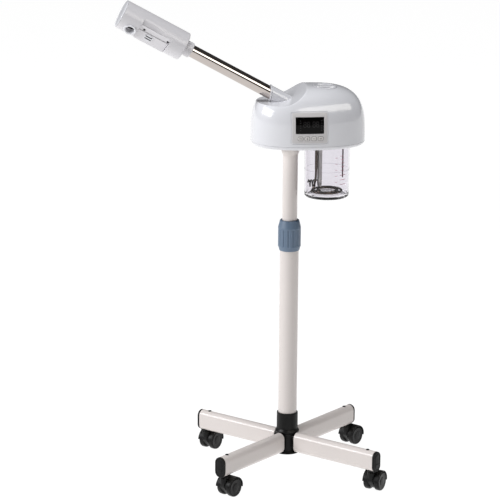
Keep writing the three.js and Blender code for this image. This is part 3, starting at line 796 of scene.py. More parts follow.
def case_height(x, y, grow=0.0):
    """Height of the housing's skin over a point of the plan. With d the
    superellipse distance from the middle, the dome is
    start + (top - start) (1 - d^3.5)^(1/3.5), and the shelf with its hollow
    flank is 815 + 0.0088 run^2. The skin is the lower of the two, and within
    2 mm of their crease it is eased by the square of what is left."""
    u = (x - CASE["x"]) / (CASE["a"] + grow)
    v = y / (CASE["b"] + grow)
    d = (np.abs(u) ** CASE["power"] + np.abs(v) ** CASE["power"]) ** (1 / CASE["power"])
    share = (1 - np.minimum(d, 1) ** CASE["side"]) ** (1 / CASE["side"])
    dome = CASE["start"] + (CASE["dome"] - 6 * (y / CASE["b"]) ** 2 + grow - CASE["start"]) * share
    shelf = CASE["shelf"] + CASE["bend"] * np.maximum(x - CASE["scoop"], 0) ** 2 + grow
    left = np.maximum(2.0 - np.abs(dome - shelf), 0) / 2.0
    return np.minimum(dome, shelf) - 0.5 * left**2


def plan(angle, grow=0.0):
    """Point of the plan oval: (a cos^(2/n), b sin^(2/n))."""
    p = 2 / CASE["power"]
    return np.stack(
        [CASE["x"] + (CASE["a"] + grow) * power(np.cos(angle), p), (CASE["b"] + grow) * power(np.sin(angle), p)], -1
    )


def on_wall(foot, inward, level, grow=0.0):
    """Walks from the foot of the wall inward until the skin reaches the level,
    by halving the interval 44 times."""
    low = np.zeros(np.broadcast_shapes(foot.shape[:-1], np.shape(level)))
    high = low + 60.0
    for _ in range(44):
        half = (low + high) / 2
        p = foot + inward * half[..., None]
        under = case_height(p[..., 0], p[..., 1], grow) < level
        low, high = np.where(under, half, low), np.where(under, high, half)
    return foot + inward * ((low + high) / 2)[..., None]


def front_wall(x, z, lift=0.0):
    """Point on the front wall at (x, z), lifted off it along its normal."""
    x, z = np.asarray(x, float), np.asarray(z, float)

    def depth(px, pz):
        angle = -np.arccos(np.clip(power((px - CASE["x"]) / CASE["a"], CASE["power"] / 2), -1, 1))
        foot = plan(angle)
        return on_wall(foot, np.array([0.0, 1.0]), pz)[..., 1]

    y = depth(x, z)
    slope_x = (depth(x + 0.2, z) - depth(x - 0.2, z)) / 0.4
    slope_z = (depth(x, z + 0.2) - depth(x, z - 0.2)) / 0.4
    normal = np.stack([slope_x, -np.ones_like(y), slope_z], -1)
    normal /= np.linalg.norm(normal, axis=-1)[..., None]
    return np.stack([x, y, z], -1) + normal * np.asarray(lift, float)[..., None]


def recess(x, z, area, corner):
    """Signed distance to a rounded rectangle, negative inside."""
    x0, x1, z0, z1 = area
    u = np.abs(x - (x0 + x1) / 2) - (x1 - x0) / 2 + corner
    v = np.abs(z - (z0 + z1) / 2) - (z1 - z0) / 2 + corner
    return np.hypot(np.maximum(u, 0), np.maximum(v, 0)) + np.minimum(np.maximum(u, v), 0) - corner


def cover_shell(wall, recess_depth):
    """The moulded cover as one closed skin. Columns run from the lower rim up
    the wall at fixed heights, over the roof to the filling hole, down its well
    and back along the inside. Near the panel the columns stand at fixed x."""
    area = (PANEL[0] - 2.4, PANEL[1] + 2.4, PANEL[2] - 2.4, PANEL[3] + 2.4)
    lines = np.concatenate([np.arange(-18, -6, 0.5), np.arange(-6, 61, 2.5), np.arange(61, 73.1, 0.5)])
    fine = -np.arccos(power((lines - CASE["x"]) / CASE["a"], CASE["power"] / 2))
    rest = np.linspace(fine[-1], fine[0] + 2 * np.pi, 200)[1:-1]
    angle = np.concatenate([fine, rest])
    foot = plan(angle)
    centre = np.array(FILL)
    out = np.maximum(np.maximum(-18 - foot[:, 0], foot[:, 0] - 73), 0)
    weight = (1 - smooth(0, 28, out)) * (foot[:, 1] < 0)
    toward = centre - foot
    toward /= np.linalg.norm(toward, axis=1)[:, None]
    inward = weight[:, None] * np.array([0.0, 1.0]) + (1 - weight)[:, None] * toward
    inward /= np.linalg.norm(inward, axis=1)[:, None]

    levels = np.concatenate([[732.3, 733.2], np.arange(734.5, 736.6, 1), np.arange(737, 746, 0.5),
                             np.arange(746, 799, 2.5), np.arange(799, 807.6, 0.5)])
    up = np.stack([on_wall(foot, inward, np.full(len(foot), z)) for z in levels])
    skin = np.concatenate([up, np.repeat(levels[:, None, None], len(foot), 1)], -1)
    sunk = recess_depth * smooth(0.45, -0.45, recess(skin[..., 0], skin[..., 2], area, 4.5)) * (skin[..., 1] < 0)
    skin[..., 1] += sunk

    bearing = np.arctan2(*(up[-1] - centre).T[::-1])
    around = np.stack([np.cos(bearing), np.sin(bearing)], -1)
    q = (np.linspace(0, 1, 91)[1:] ** 1.5)[:, None, None]
    over = up[-1] * (1 - q) + (centre + 26.0 * around) * q
    top = np.concatenate([over, case_height(over[..., 0], over[..., 1])[..., None]], -1)

    def ring(radius, drop=None, level=None):
        p = centre + radius * around
        z = case_height(p[:, 0], p[:, 1]) - drop if level is None else np.full(len(p), float(level))
        return np.column_stack([p, z])[None]

    well = [ring(25.5, 0.08), ring(25.15, 0.3), ring(25.0, 0.7), ring(25.0, level=839.4), ring(24.6, level=839),
            ring(20.3, level=839), ring(19.8, level=838.5), ring(19.8, level=832.4), ring(20.2, level=832),
            ring(28.0, level=832)]
    inner_foot = plan(angle, -wall)
    heights = (800, 780, 760, 740, 732.3)
    inner = [on_wall(inner_foot, inward, np.full(len(foot), z), -wall) for z in heights]
    under = ring(28.0, wall)
    q = (1 - np.linspace(1, 0, 20)[1:-1] ** 1.5)[:, None, None]
    over_in = (centre + 28.0 * around) * (1 - q) + inner[0] * q
    ceiling = np.concatenate([over_in, case_height(over_in[..., 0], over_in[..., 1], -wall)[..., None]], -1)
    sides = np.stack([np.column_stack([p, np.full(len(p), z)]) for p, z in zip(inner, heights)])
    return np.concatenate([skin, top, *well, under, ceiling, sides])


def oblique(grid):
    """Leans the mouth of the neck: a point moves back along the arm by
    6 (1 - cos a), from nothing at the top to 12 mm below, less towards the root."""
    x, y, along = grid[..., 0], grid[..., 1], grid[..., 2]
    back = 6 * (1 - x / np.maximum(np.hypot(x, y), 1e-9)) * np.clip(1 + along / 58, 0, 1)
    return np.stack([x, y, along - back], -1)


def tray_shell():
    """The lower tray: wall, 9 mm rounded edge, flat underside, jar opening with
    a rolled rim, and the inside face."""
    angle = np.arange(240) * 2 * np.pi / 240
    centre = np.array([JAR_X, 0.0])
    turn = np.linspace(0, np.pi / 2, 9)
    rows = [np.column_stack([plan(angle), np.full(240, 732.0)])]
    rows += [
        np.column_stack([plan(angle, -9 * (1 - math.cos(t))), np.full(240, 733 - 9 * math.sin(t))]) for t in turn[1:]
    ]
    edge = plan(angle, -9)
    bearing = np.arctan2(*(edge - centre).T[::-1])
    around = np.stack([np.cos(bearing), np.sin(bearing)], -1)
    hole = centre + 51.4 * around
    for q in np.linspace(0, 1, 8)[1:]:
        rows.append(np.column_stack([edge * (1 - q) + hole * q, np.full(240, 724.0)]))
    for radius, z in ((50.6, 724.2), (50.2, 724.8), (50.2, 726.6), (50.6, 727)):
        rows.append(np.column_stack([centre + radius * around, np.full(240, z)]))
    rows.append(np.column_stack([plan(angle, -10), np.full(240, 727.0)]))
    rows.append(np.column_stack([plan(angle, -3.6), np.full(240, 729.6)]))
    rows.append(np.column_stack([plan(angle, -3), np.full(240, 732.0)]))
    return np.stack(rows)


def wall_plate(area, corner, low, high, edge=0.4, hole=None, crown=0.0):
    """A plate that follows the front wall between two offsets, with an eased
    edge. With a hole, its rows run from the outline to the hole's outline."""
    x0, x1, z0, z1 = area
    cx, cz, hw, hh = (x0 + x1) / 2, (z0 + z1) / 2, (x1 - x0) / 2, (z1 - z0) / 2
    t = np.linspace(0, np.pi / 2, 4)
    rim = list(zip(edge * (1 - np.cos(t)), high - edge + edge * np.sin(t)))
    rows = []

    def outline(inset, lift):
        shape = rounded_rect(hw - inset, hh - inset, max(corner - inset, 0.05), 5, 14)
        return np.column_stack([shape + (cx, cz), np.full(len(shape), lift)])

    if hole is None:
        narrow = min(hw, hh) - 1e-3
        spread = np.linspace(0, narrow, 9)[1:]
        rows += [outline(i, low) for i in spread[::-1]]
        rows += [outline(0, low), *(outline(i, z) for i, z in rim)]
        rows += [outline(i, high + crown * (i / narrow) ** 0.6) for i in spread if i > edge]
    else:
        a0, a1, b0, b1 = hole
        inner = rounded_rect((a1 - a0) / 2, (b1 - b0) / 2, 0.8, 5, 14) + ((a0 + a1) / 2, (b0 + b1) / 2)
        for lift, steps in ((high, np.linspace(0, 1, 9)[1:]), (low, np.linspace(1, 0, 5))):
            outer = outline(edge if lift == high else 0, lift)
            for q in steps:
                mixed = outer[:, :2] * (1 - q) + inner * q
                rows.append(np.column_stack([mixed, np.full(len(mixed), lift)]))
        rows += [outline(i, z) for i, z in rim]
    grid = np.stack(rows)
    return front_wall(grid[..., 0], grid[..., 1], grid[..., 2])


def cap_lid():
    """Filling cap that follows the dome: z = skin + 0.2, with two dished halves
    that leave a grip bar across the middle, turned 12 degrees."""
    r = np.concatenate([[0], np.linspace(0.6, 24.0, 60), [24.3, 24.55, 24.6]])
    a = np.arange(180) * 2 * np.pi / 180
    x, y = np.outer(r, np.cos(a)), np.outer(r, np.sin(a))
    turn = math.radians(12)
    across = -x * math.sin(turn) + y * math.cos(turn)
    z = case_height(FILL[0] + x, FILL[1] + y) + 0.2
    bar = smooth(3.6, 6.2, np.abs(across))
    dish = bar * smooth(21.2, 17.6, r)[:, None]
    floor = 841 + 0.004 * (x**2 + y**2)
    z = z - dish * (z - floor) * 0.96
    z[-2] -= 0.12
    z[-1] -= 0.45
    rim = np.stack([x[-1], y[-1], np.full(180, 839.6)], -1)[None]
    under = np.stack([x[-1] * 0.98, y[-1] * 0.98, np.full(180, 839.3)], -1)[None]
    middle = np.zeros((1, 180, 3)) + (0, 0, 839.3)
    return placed(np.concatenate([np.stack([x, y, z], -1), rim, under, middle]), offset(*FILL, 0))


# ---------------------------------------------------------------- steam head


def head_body():
    """Turned shell with a flat for the cover and a pocket for the nozzle:
    r = min(R, depth / cos d) between the ends of the flat, where d is the angle
    from the flat's middle, and r falls by 13 mm within 11 mm of the nozzle.
    Above the flat a hollow 3 mm deep grows from the collar end and stops short
    just before the nozzle."""
    bend = np.linspace(0, np.pi / 2, 7)
    start = [(0, 203.5), (10, 203.5), (16.8, 203.5), (22, 203.5)]
    start += list(zip(28 + 2.5 * np.sin(bend), 206 - 2.5 * np.cos(bend)))
    lines = np.concatenate([
        np.arange(208, 237, 3), [237.6, 237.9, 238.2, 238.6], np.arange(241, 304, 3),
        np.arange(304.5, 307.6, 0.5),
        [307.9, 308.2, 308.6], np.arange(309.5, 337, 0.8), np.arange(339, 348, 4), [349.2],
    ])
    r = np.concatenate([[p[0] for p in start], np.full(len(lines), HEAD_R), [30.3, 29.9, 0]])
    s = np.concatenate([[p[1] for p in start], lines, [349.8, 350.1, 350.1]])
    edge = math.degrees(math.acos(FLAT[2] / HEAD_R))
    d = np.radians(np.concatenate([np.linspace(-edge, edge, 91), np.linspace(edge, 360 - edge, 92)[1:-1]]))
    reach = np.repeat(r[:, None], len(d), 1)
    middle = np.cos(d)
    flat = np.where(middle > 0.5, FLAT[2] / np.maximum(middle, 0.5), 99)
    on_flat = ((s > FLAT[0]) & (s < FLAT[1] + 0.3))[:, None]
    reach = np.where(on_flat, np.minimum(reach, flat), reach)
    up = smooth(80, edge, np.degrees(d)) * (np.degrees(d) >= edge) + (np.abs(np.degrees(d)) < edge)
    hollow = 3.0 * (smooth(FLAT[0], 290, s) * smooth(306.9, 305.2, s) * (r > 30))[:, None] * up[None]
    reach = np.where(np.degrees(d)[None] >= edge, reach - hollow, reach)
    away = np.hypot((s - NOZZLE_S)[:, None], HEAD_R * np.sin(d)[None])
    pocket = (1 - smooth(10.8, 12.4, away)) * (middle > 0) * (r > 30)[:, None]
    reach = reach - 13 * pocket
    a = d - np.pi / 2
    return np.stack([reach * np.cos(a), reach * np.sin(a), np.repeat(s[:, None], len(d), 1)], -1)


def vent_badge(radius, height, slots):
    """Round vent: a low dome with slots let into it, depth 1.6 mm."""
    turn = np.linspace(0, np.pi / 2, 5)
    r = np.concatenate([[0], np.linspace(0.3, radius - 1, 44), radius - 1 + np.sin(turn[1:])])
    a = np.arange(144) * 2 * np.pi / 144
    x, y = np.outer(r, np.cos(a)), np.outer(r, np.sin(a))
    z = height * (1 - 0.35 * (r / radius) ** 2)
    z[-5:] = z[-5] - 0.9 * (1 - np.cos(turn))
    depth = np.zeros_like(x)
    for u in slots:
        depth = np.maximum(depth, smooth(0.3, -0.3, recess(x, y, (u - 1.5, u + 1.5, -7.5, 7.5), 1.5)))
    top = np.stack([x, y, z[:, None] - 1.6 * depth], -1)
    foot = np.stack([x[-1], y[-1], np.full(144, -0.6)], -1)[None]
    return np.concatenate([top, foot, np.zeros((1, 144, 3)) - (0, 0, 0.6)])


# ------------------------------------------------------------------ settings


def tint(name, code, description):
    """A colour that a user may change."""
    return bpy.props.FloatVectorProperty(
        name=name, description=description, subtype="COLOR", size=3, min=0, max=1, default=linear(code)[:3]
    )


def length(name, mm, description):
    """A length that a user may change."""
    return bpy.props.FloatProperty(
        name=name, description=description, subtype="DISTANCE", unit="LENGTH", min=0.0001, default=mm * MM
    )


class SteamerSettings(bpy.types.PropertyGroup):
    """Sizes and colours of the steamer that a user may change."""

    housing_colour: tint("Housing", "#D8D8DC", "Colour of the moulded housing")
    head_colour: tint("Steam head", "#D3D1D4", "Colour of the steam head")
    enamel_colour: tint("Stand", "#DED6D2", "Colour of the powder-coated column and legs")
    nut_colour: tint("Clamping nut", "#62758B", "Colour of the column's clamping nut")
    leg_wall: length("Leg wall", 1.5, "Wall thickness of the oval leg tubes")
    housing_wall: length("Housing wall", 3.0, "Wall thickness of the moulded cover")
    panel_recess: length("Panel recess", 0.7, "Depth of the recess round the control panel")
    jar_wall: length("Jar wall", 3.0, "Wall thickness of the glass jar")
    scale_height: length("Scale line", 0.9, "Thickness of the lines of the jar's scale")


def settings():
    """The scene's steamer settings."""
    return bpy.context.scene.steamer


# ----------------------------------------------------------------- operators


class STEAMER_OT_base(bpy.types.Operator):
    """Cross base: hub, four oval legs, their end plugs and screws"""

    bl_idname = "steamer.base"
    bl_label = "Cross Base"

    def execute(self, context):
        enamel, black = powder_coat(settings()), black_pp()
        stubs = [
            placed(oval_bar([(12.4, 14), (1.9, 14), (1.9, 58), (12.4, 58)]), leg_frame(n)) for n in LEGS
        ]
        make("base_hub", "base", [placed(hub_sleeve(), STAND), *stubs], black, ["hub"])
        for name in LEGS:
            place = leg_frame(name)
            tube = leg_tube(settings().leg_wall / MM)
            make(f"leg_tube_{name}", "base", [placed(tube, place)], enamel, [f"leg_{name}"])
            neck = placed(plug_neck(), place @ offset(STEM + 6.5, 0, 0))
            collar = turned([(0, 45), (6.8, 45), (7.6, 48), (7.6, 60), (0, 60)], 48)
            collar = placed(collar, place @ offset(STEM, 0, 0))
            make(
                f"leg_plug_{name}", "base", [placed(end_plug(), place), neck, collar], black,
                [f"leg_cap_{name}"],
            )
            head = placed(screw(3.6, 1.8), place @ offset(212, 0, LEG_MIDDLE + 21.9))
            make(f"leg_screw_{name}", "base", [head], black_screw())
            refinish(f"castor_stem_{name}", zinc_steel())
        refinish("hub_bolt", zinc_steel())
        return {"FINISHED"}


class STEAMER_OT_castors(bpy.types.Operator):
    """Four twin-wheel castors"""

    bl_idname = "steamer.castors"
    bl_label = "Castors"

    def execute(self, context):
        for name in LEGS:
            place = castor_frame(name)
            grids = [placed(g, place) for g in castor_body()]
            make(
                f"castor_hood_{name}", f"castor_{name}", grids, black_pp(),
                [f"castor_frame_{name}"],
            )
            for side, word in ((1, "left"), (-1, "right")):
                make(
                    f"castor_roller_{name}_{word}", f"wheel_{name}_{word}", [placed(castor_wheel(side), place)],
                    nylon(), [f"castor_wheel_{name}_{word}"],
                )
        return {"FINISHED"}


class STEAMER_OT_column(bpy.types.Operator):
    """Telescopic column and its clamping nut"""

    bl_idname = "steamer.column"
    bl_label = "Column"

    def execute(self, context):
        enamel = powder_coat(settings())
        make("column_lower", "base", [placed(pipe(20, 18.4, 60.3, 497), STAND)], enamel,
             ["lower_column"])
        make("column_upper", "mast", [placed(pipe(16, 14.5, 300, 765.5), STAND)], enamel,
             ["upper_column"])
        make("column_nut", "collar", [placed(fluted_nut(), STAND)], nut_nylon(settings()),
             ["collar_nut"])
        refinish("collet", black_pp())
        refinish("column_bush", black_pp())
        return {"FINISHED"}


class STEAMER_OT_housing(bpy.types.Operator):
    """Moulded cover with the arm's neck, lower tray and column socket"""

    bl_idname = "steamer.housing"
    bl_label = "Housing"

    def execute(self, context):
        white = gloss_abs(settings())
        shell = placed(cover_shell(settings().housing_wall / MM, settings().panel_recess / MM), STAND)
        neck = oblique(turned([(13.6, -58), (15.4, -58), (15.4, 0), (13.6, 0)], 96, 0.8))
        make(
            "housing_cover", "housing", [shell, placed(neck, ARM_FRAME)], white,
            ["housing_shell"], 50,
        )
        make("housing_tray", "housing", [placed(tray_shell(), STAND)], white, ["housing_base"])
        socket = [
            (0, 772), (19.5, 772), (19.5, 724.1), (20.6, 724.1), (20.6, 722.4), (16.6, 720.8), (16.3, 720.8),
            (16.3, 765.8), (0, 765.8),
        ]
        make("column_sleeve", "housing", [placed(turned(socket), STAND)], black_pp(),
             ["column_socket"])
        flare = [(16.3, 700.6), (16.9, 700.6), (19.0, 707.4), (19.2, 720), (16.3, 720)]
        make("column_flare", "housing", [placed(turned(flare), STAND)], powder_coat(settings()))
        screws = [placed(screw(3.2, 1.2), STAND @ offset(x, y, 724) @ rotation("X", 180))
                  for x, y in ((-52, -34), (-52, 34), (26, -62), (26, 62), (134, -32), (134, 32))]
        make("tray_screws", "housing", screws, zinc_steel())
        refinish("circuit_board", circuit())
        refinish("steam_duct", silicone_hose())
        refinish("fill_tube", silicone_hose())
        return {"FINISHED"}


class STEAMER_OT_panel(bpy.types.Operator):
    """Control panel: overlay, display window and its segments"""

    bl_idname = "steamer.panel"
    bl_label = "Control Panel"

    def execute(self, context):
        hole = (WINDOW[0] - 0.3, WINDOW[1] + 0.3, WINDOW[2] - 0.3, WINDOW[3] + 0.3)
        plate = wall_plate(PANEL, 3, -1.6, 0.9, hole=hole)
        make("panel_overlay", "housing", [placed(plate, STAND)], panel_film(), ["control_panel"])
        glass = wall_plate(WINDOW, 0.6, -1.8, 0.55, 0.25)
        make("panel_window", "housing", [placed(glass, STAND)], acrylic(), ["display_window"])
        bars = []
        for left in (14.5, 22.0, 33.5, 41.0):
            for x0, x1, z0, z1 in (
                (0.7, 4.3, 0, 0.8), (0.7, 4.3, 5.4, 6.2), (0.7, 4.3, 10.8, 11.6),
                (-0.3, 0.5, 0.9, 5.3), (-0.3, 0.5, 6.3, 10.7), (4.5, 5.3, 0.9, 5.3), (4.5, 5.3, 6.3, 10.7),
            ):
                area = (left + x0, left + x1, 774.5 + z0, 774.5 + z1)
                bars.append(placed(wall_plate(area, 0.3, 0.3, 0.6, 0.03), STAND))
        for x in (8.0, 52.0):
            for z in (768, 773, 778, 783, 788):
                bars.append(placed(wall_plate((x - 1.2, x + 1.2, z - 0.6, z + 0.6), 0.4, 0.3, 0.6, 0.03), STAND))
        make("panel_segments", "housing", bars, unlit_segment())
        # Painted shade: dark plates just proud of the overlay round each key stand in for the shade in the gaps.
        gaps = [wall_plate((x - 5.5, x + 5.5, KEY_Z - 4.5, KEY_Z + 4.5), 2.6, 0.2, 0.93, 0.02) for x in KEY_X]
        make("panel_key_gap_shade", "housing", [placed(g, STAND) for g in gaps], painted_shade_black())
        return {"FINISHED"}


class STEAMER_OT_keys(bpy.types.Operator):
    """Four keys with generic symbols"""

    bl_idname = "steamer.keys"
    bl_label = "Keys"

    def execute(self, context):
        a = np.linspace(0, 2 * np.pi, 33)[:-1]
        for i, x in enumerate(KEY_X):
            cap = wall_plate((x - 4.8, x + 4.8, KEY_Z - 3.8, KEY_Z + 3.8), 2.2, 0.15, 2.0, 0.5, crown=0.15)
            make(f"key_{i + 1}_cap", f"key_{i + 1}", [placed(cap, STAND)], key_rubber(),
                 [f"button_{i + 1}"])
            if i == 0:
                path = np.column_stack([x + 1.9 * np.cos(a), KEY_Z + 1.9 * np.sin(a)])
                ring = [(0.3, 0), (0.3, 0.3), (-0.3, 0.3), (-0.3, 0)]
                rows = [
                    np.column_stack([(path - (x, KEY_Z)) * (1 + w / 1.9) + (x, KEY_Z), np.full(32, 2.0 + lift)])
                    for w, lift in ring
                ]
                grid = np.stack(rows)
                marks = [front_wall(grid[..., 0], grid[..., 1], grid[..., 2])]
            else:
                bars = {
                    1: [(-2.2, 2.2, -0.4, 0.4), (-0.4, 0.4, -2.2, 2.2)],
                    2: [(-2.2, 2.2, -0.4, 0.4)],
                    3: [(-2.0, -1.2, -1.6, 1.6), (-0.4, 0.4, -1.6, 1.6), (1.2, 2.0, -1.6, 1.6)],
                }[i]
                marks = [
                    wall_plate((x + p, x + q, KEY_Z + u, KEY_Z + v), 0.3, 1.8, 2.28, 0.05) for p, q, u, v in bars
                ]
            make(f"key_{i + 1}_symbol", f"key_{i + 1}", [placed(m, STAND) for m in marks], print_dark())
        return {"FINISHED"}


class STEAMER_OT_inlet(bpy.types.Operator):
    """Mains inlet on the back wall"""

    bl_idname = "steamer.inlet"
    bl_label = "Mains Inlet"

    def execute(self, context):
        place = STAND @ offset(36, 0, 750.5) @ rotation("X", -90)
        frame_rows = [
            (0.01, 0.01, 0.005, 66), (13.6, 10.1, 1.5, 66), (13.6, 10.1, 1.5, 85.4), (18, 13.5, 3, 85.4),
            (18, 13.5, 3, 87.6), (17.7, 13.2, 2.8, 88.2), (17.1, 12.6, 2.4, 88.4), (12.2, 8.7, 2.4, 88.4),
            (11.8, 8.3, 2.2, 88.2), (11.6, 8.1, 2.0, 87.7), (11.6, 8.1, 2.0, 69), (0.01, 0.01, 0.005, 69),
        ]
        make("inlet_frame", "housing", [placed(stepped(frame_rows), place)], black_pp(),
             ["power_inlet"])
        spots = ((-6, 1.5), (0, -2), (6, 1.5))
        pins = [placed(pad(0.9, 2.2, 0.4, 68, 84, 0.4), place @ offset(x, y, 0)) for x, y in spots]
        make("inlet_pins", "housing", pins, zinc_steel())
        return {"FINISHED"}


class STEAMER_OT_filling(bpy.types.Operator):
    """Filling lid and its stopper"""

    bl_idname = "steamer.filling"
    bl_label = "Filling Lid"

    def execute(self, context):
        make("fill_lid_cap", "fill_lid", [placed(cap_lid(), STAND)], gloss_abs(settings()),
             ["fill_cap"], 60)
        plug = [
            (0, 818), (16.4, 818), (17.5, 819.4), (17.5, 823.6), (18.6, 824.4), (18.6, 825.6), (17.5, 826.4),
            (17.5, 828.6), (18.7, 829.4), (18.7, 831.2), (17.5, 832.4), (17.5, 839), (0, 839),
        ]
        make("fill_stopper_plug", "fill_stopper", [placed(turned(plug, 72, 0.5), STAND @ offset(*FILL, 0))],
             silicone_seal(), ["fill_plug"])
        return {"FINISHED"}


class STEAMER_OT_boiler(bpy.types.Operator):
    """Boiler head, heater, level probe and seal"""

    bl_idname = "steamer.boiler"
    bl_label = "Boiler"

    def execute(self, context):
        place = STAND @ offset(JAR_X, 0, 0)
        head = [
            (0, 736), (36, 736), (37, 737.2), (40, 737.2), (41, 736), (52, 736), (52, 746), (48, 752), (0, 752),
        ]
        make("boiler_plate", "housing", [placed(turned(head), place)], stainless_plate(),
             ["boiler_head"])
        t = np.linspace(0, 1, 150)
        turns = np.radians(196) + t * 2 * np.pi * 2.05
        radius = 35 - 17 * t
        spiral = np.column_stack([radius * np.cos(turns), radius * np.sin(turns), np.full(150, 621.6)])
        rise = np.array([[-23, -3, 735.7], [-23, -3, 700], [-23.1, -3.4, 664], [-24.2, -4.8, 644],
                         [-28, -7.4, 630], [-32.6, -9.3, 623.5]])
        path = np.concatenate([rise, spiral])
        fine = np.linspace(0, len(path) - 1, 420)
        k = np.arange(len(path))
        path = np.column_stack([np.interp(fine, k, path[:, i]) for i in range(3)])
        soften = np.ones(5) / 5
        padded = np.pad(path, ((2, 2), (0, 0)), "edge")
        smoothed = np.column_stack([np.convolve(column, soften, "valid") for column in padded.T])
        element = swept(smoothed, 2.3, 18, (0.02, 1, 0.03))
        sleeve = swept(np.array([[-15, 2, z] for z in np.linspace(735.7, 632, 12)] + [[-15, 2, 629]]),
                       np.array([5.3] * 11 + [4.8, 3.2]), 24, (1, 0, 0))
        lead = swept(np.array([[-23, -3, z] for z in np.linspace(735.7, 668, 8)]), 3.0, 24, (1, 0, 0))
        make("heater_element", "housing", [placed(g, place) for g in (element, lead)], heater_sheath(),
             ["heater"])
        make("heater_sleeve", "housing", [placed(sleeve, place)], zinc_steel())
        w = np.linspace(0, 1, 120)
        coil = w * 6.6 * np.pi
        wind = np.column_stack([-39 + 17 * w, 6.5 * np.cos(coil), 637 + 6.5 * np.sin(coil)])
        make("heater_winding", "housing", [placed(swept(wind, 1.5, 12, (1, 0.01, 0.02)), place)], coil_black())
        rod = [(0, 648), (1.1, 648), (1.6, 650), (1.6, 712), (2.4, 714), (2.4, 735.7), (0, 735.7)]
        make("level_rod", "housing", [placed(turned(rod, 24, 0.4), place @ offset(34, 0, 0))], probe_sleeve(),
             ["level_probe"])
        seal = [(38, 733.3), (47.5, 733.3), (47.5, 735.7), (38, 735.7)]
        make("jar_gasket", "jar_ring", [placed(turned(seal), place)], silicone_seal(), ["jar_seal"])
        return {"FINISHED"}


class STEAMER_OT_jar(bpy.types.Operator):
    """Glass water jar with a printed scale"""

    bl_idname = "steamer.jar"
    bl_label = "Water Jar"

    def execute(self, context):
        place = STAND @ offset(JAR_X, 0, 0)
        wall = settings().jar_wall / MM
        inner = 48.5 - wall
        jar = [
            (0, 611.2), (30, 610.8), (38, 610.2), (40, 609), (44, 609), (47, 612), (47.5, 648),
            (48.5, 715), (48.5, 733),
            (inner, 733), (inner, 715), (inner - 0.6, 660), (inner - 1.2, 619), (inner - 4, 614.6), (30, 613.8),
            (0, 613.4),
        ]
        glass = placed(turned(jar, 128, 1.4, 6), place)
        rim = placed(turned([(47.6, 668.3), (48.0, 668.3), (48.0, 669.3), (47.6, 669.3)], 128, 0.2), place)
        make("jar_glass", "water_jar", [glass, rim], borosilicate(), ["jar"])
        thick = settings().scale_height / MM
        marks = []
        scale = [(-64, -45, z, 1.0) for z in (642, 652, 662)]
        scale += [(-62, -50, z, 0.9) for z in (672, 680, 688, 696)]
        scale += [(-78, -72, z, 0.9) for z in (648, 661, 674, 687, 700)] + [(-64, -56, 703, 0.9)]
        for low, high, z, share in scale:
            a = np.radians(np.linspace(low, high, 18))[:, None]
            wall_r = 47.5 + (z - 648) / 67
            ring = np.array([(0, -0.5), (0.22, -0.5), (0.22, 0.5), (0, 0.5)]) * (1, thick * share)
            r = wall_r + ring[None, :, 0]
            grid = np.stack([r * np.cos(a), r * np.sin(a), np.broadcast_to(z + ring[None, :, 1], (18, 4))], -1)
            ends = [np.repeat(grid[i].mean(0)[None, None], 4, 1) for i in (0, -1)]
            marks.append(placed(np.concatenate([ends[0], grid, ends[1]]), place))
        make("jar_scale", "water_jar", marks, print_pink())
        return {"FINISHED"}


class STEAMER_OT_arm(bpy.types.Operator):
    """Chrome steam arm and its two collars"""

    bl_idname = "steamer.arm"
    bl_label = "Steam Arm"

    def execute(self, context):
        gland = [(13.6, 0.3), (16.2, 0.3), (16.2, 3.8), (13.6, 3.8)]
        gland = placed(oblique(turned(gland, 96, 0.8)), ARM_FRAME)
        make("arm_gland", "housing", [gland], gloss_abs(settings()), ["neck_gland"])
        make("arm_chrome", "housing", [placed(pipe(13.2, 12, -45, 204, 128), ARM_FRAME)], chrome(),
             ["arm_tube"])
        collar = [
            (13.5, 186), (15.6, 186), (16.4, 187.4), (16.4, 206.9), (20, 206.9), (20, 211.5),
            (8.2, 211.5), (8.2, 204.3),
            (13.5, 204.3),
        ]
        make("arm_collar", "housing", [placed(turned(collar, 96, 0.6), ARM_FRAME)], satin_abs(settings()),
             ["head_collar"])
        return {"FINISHED"}


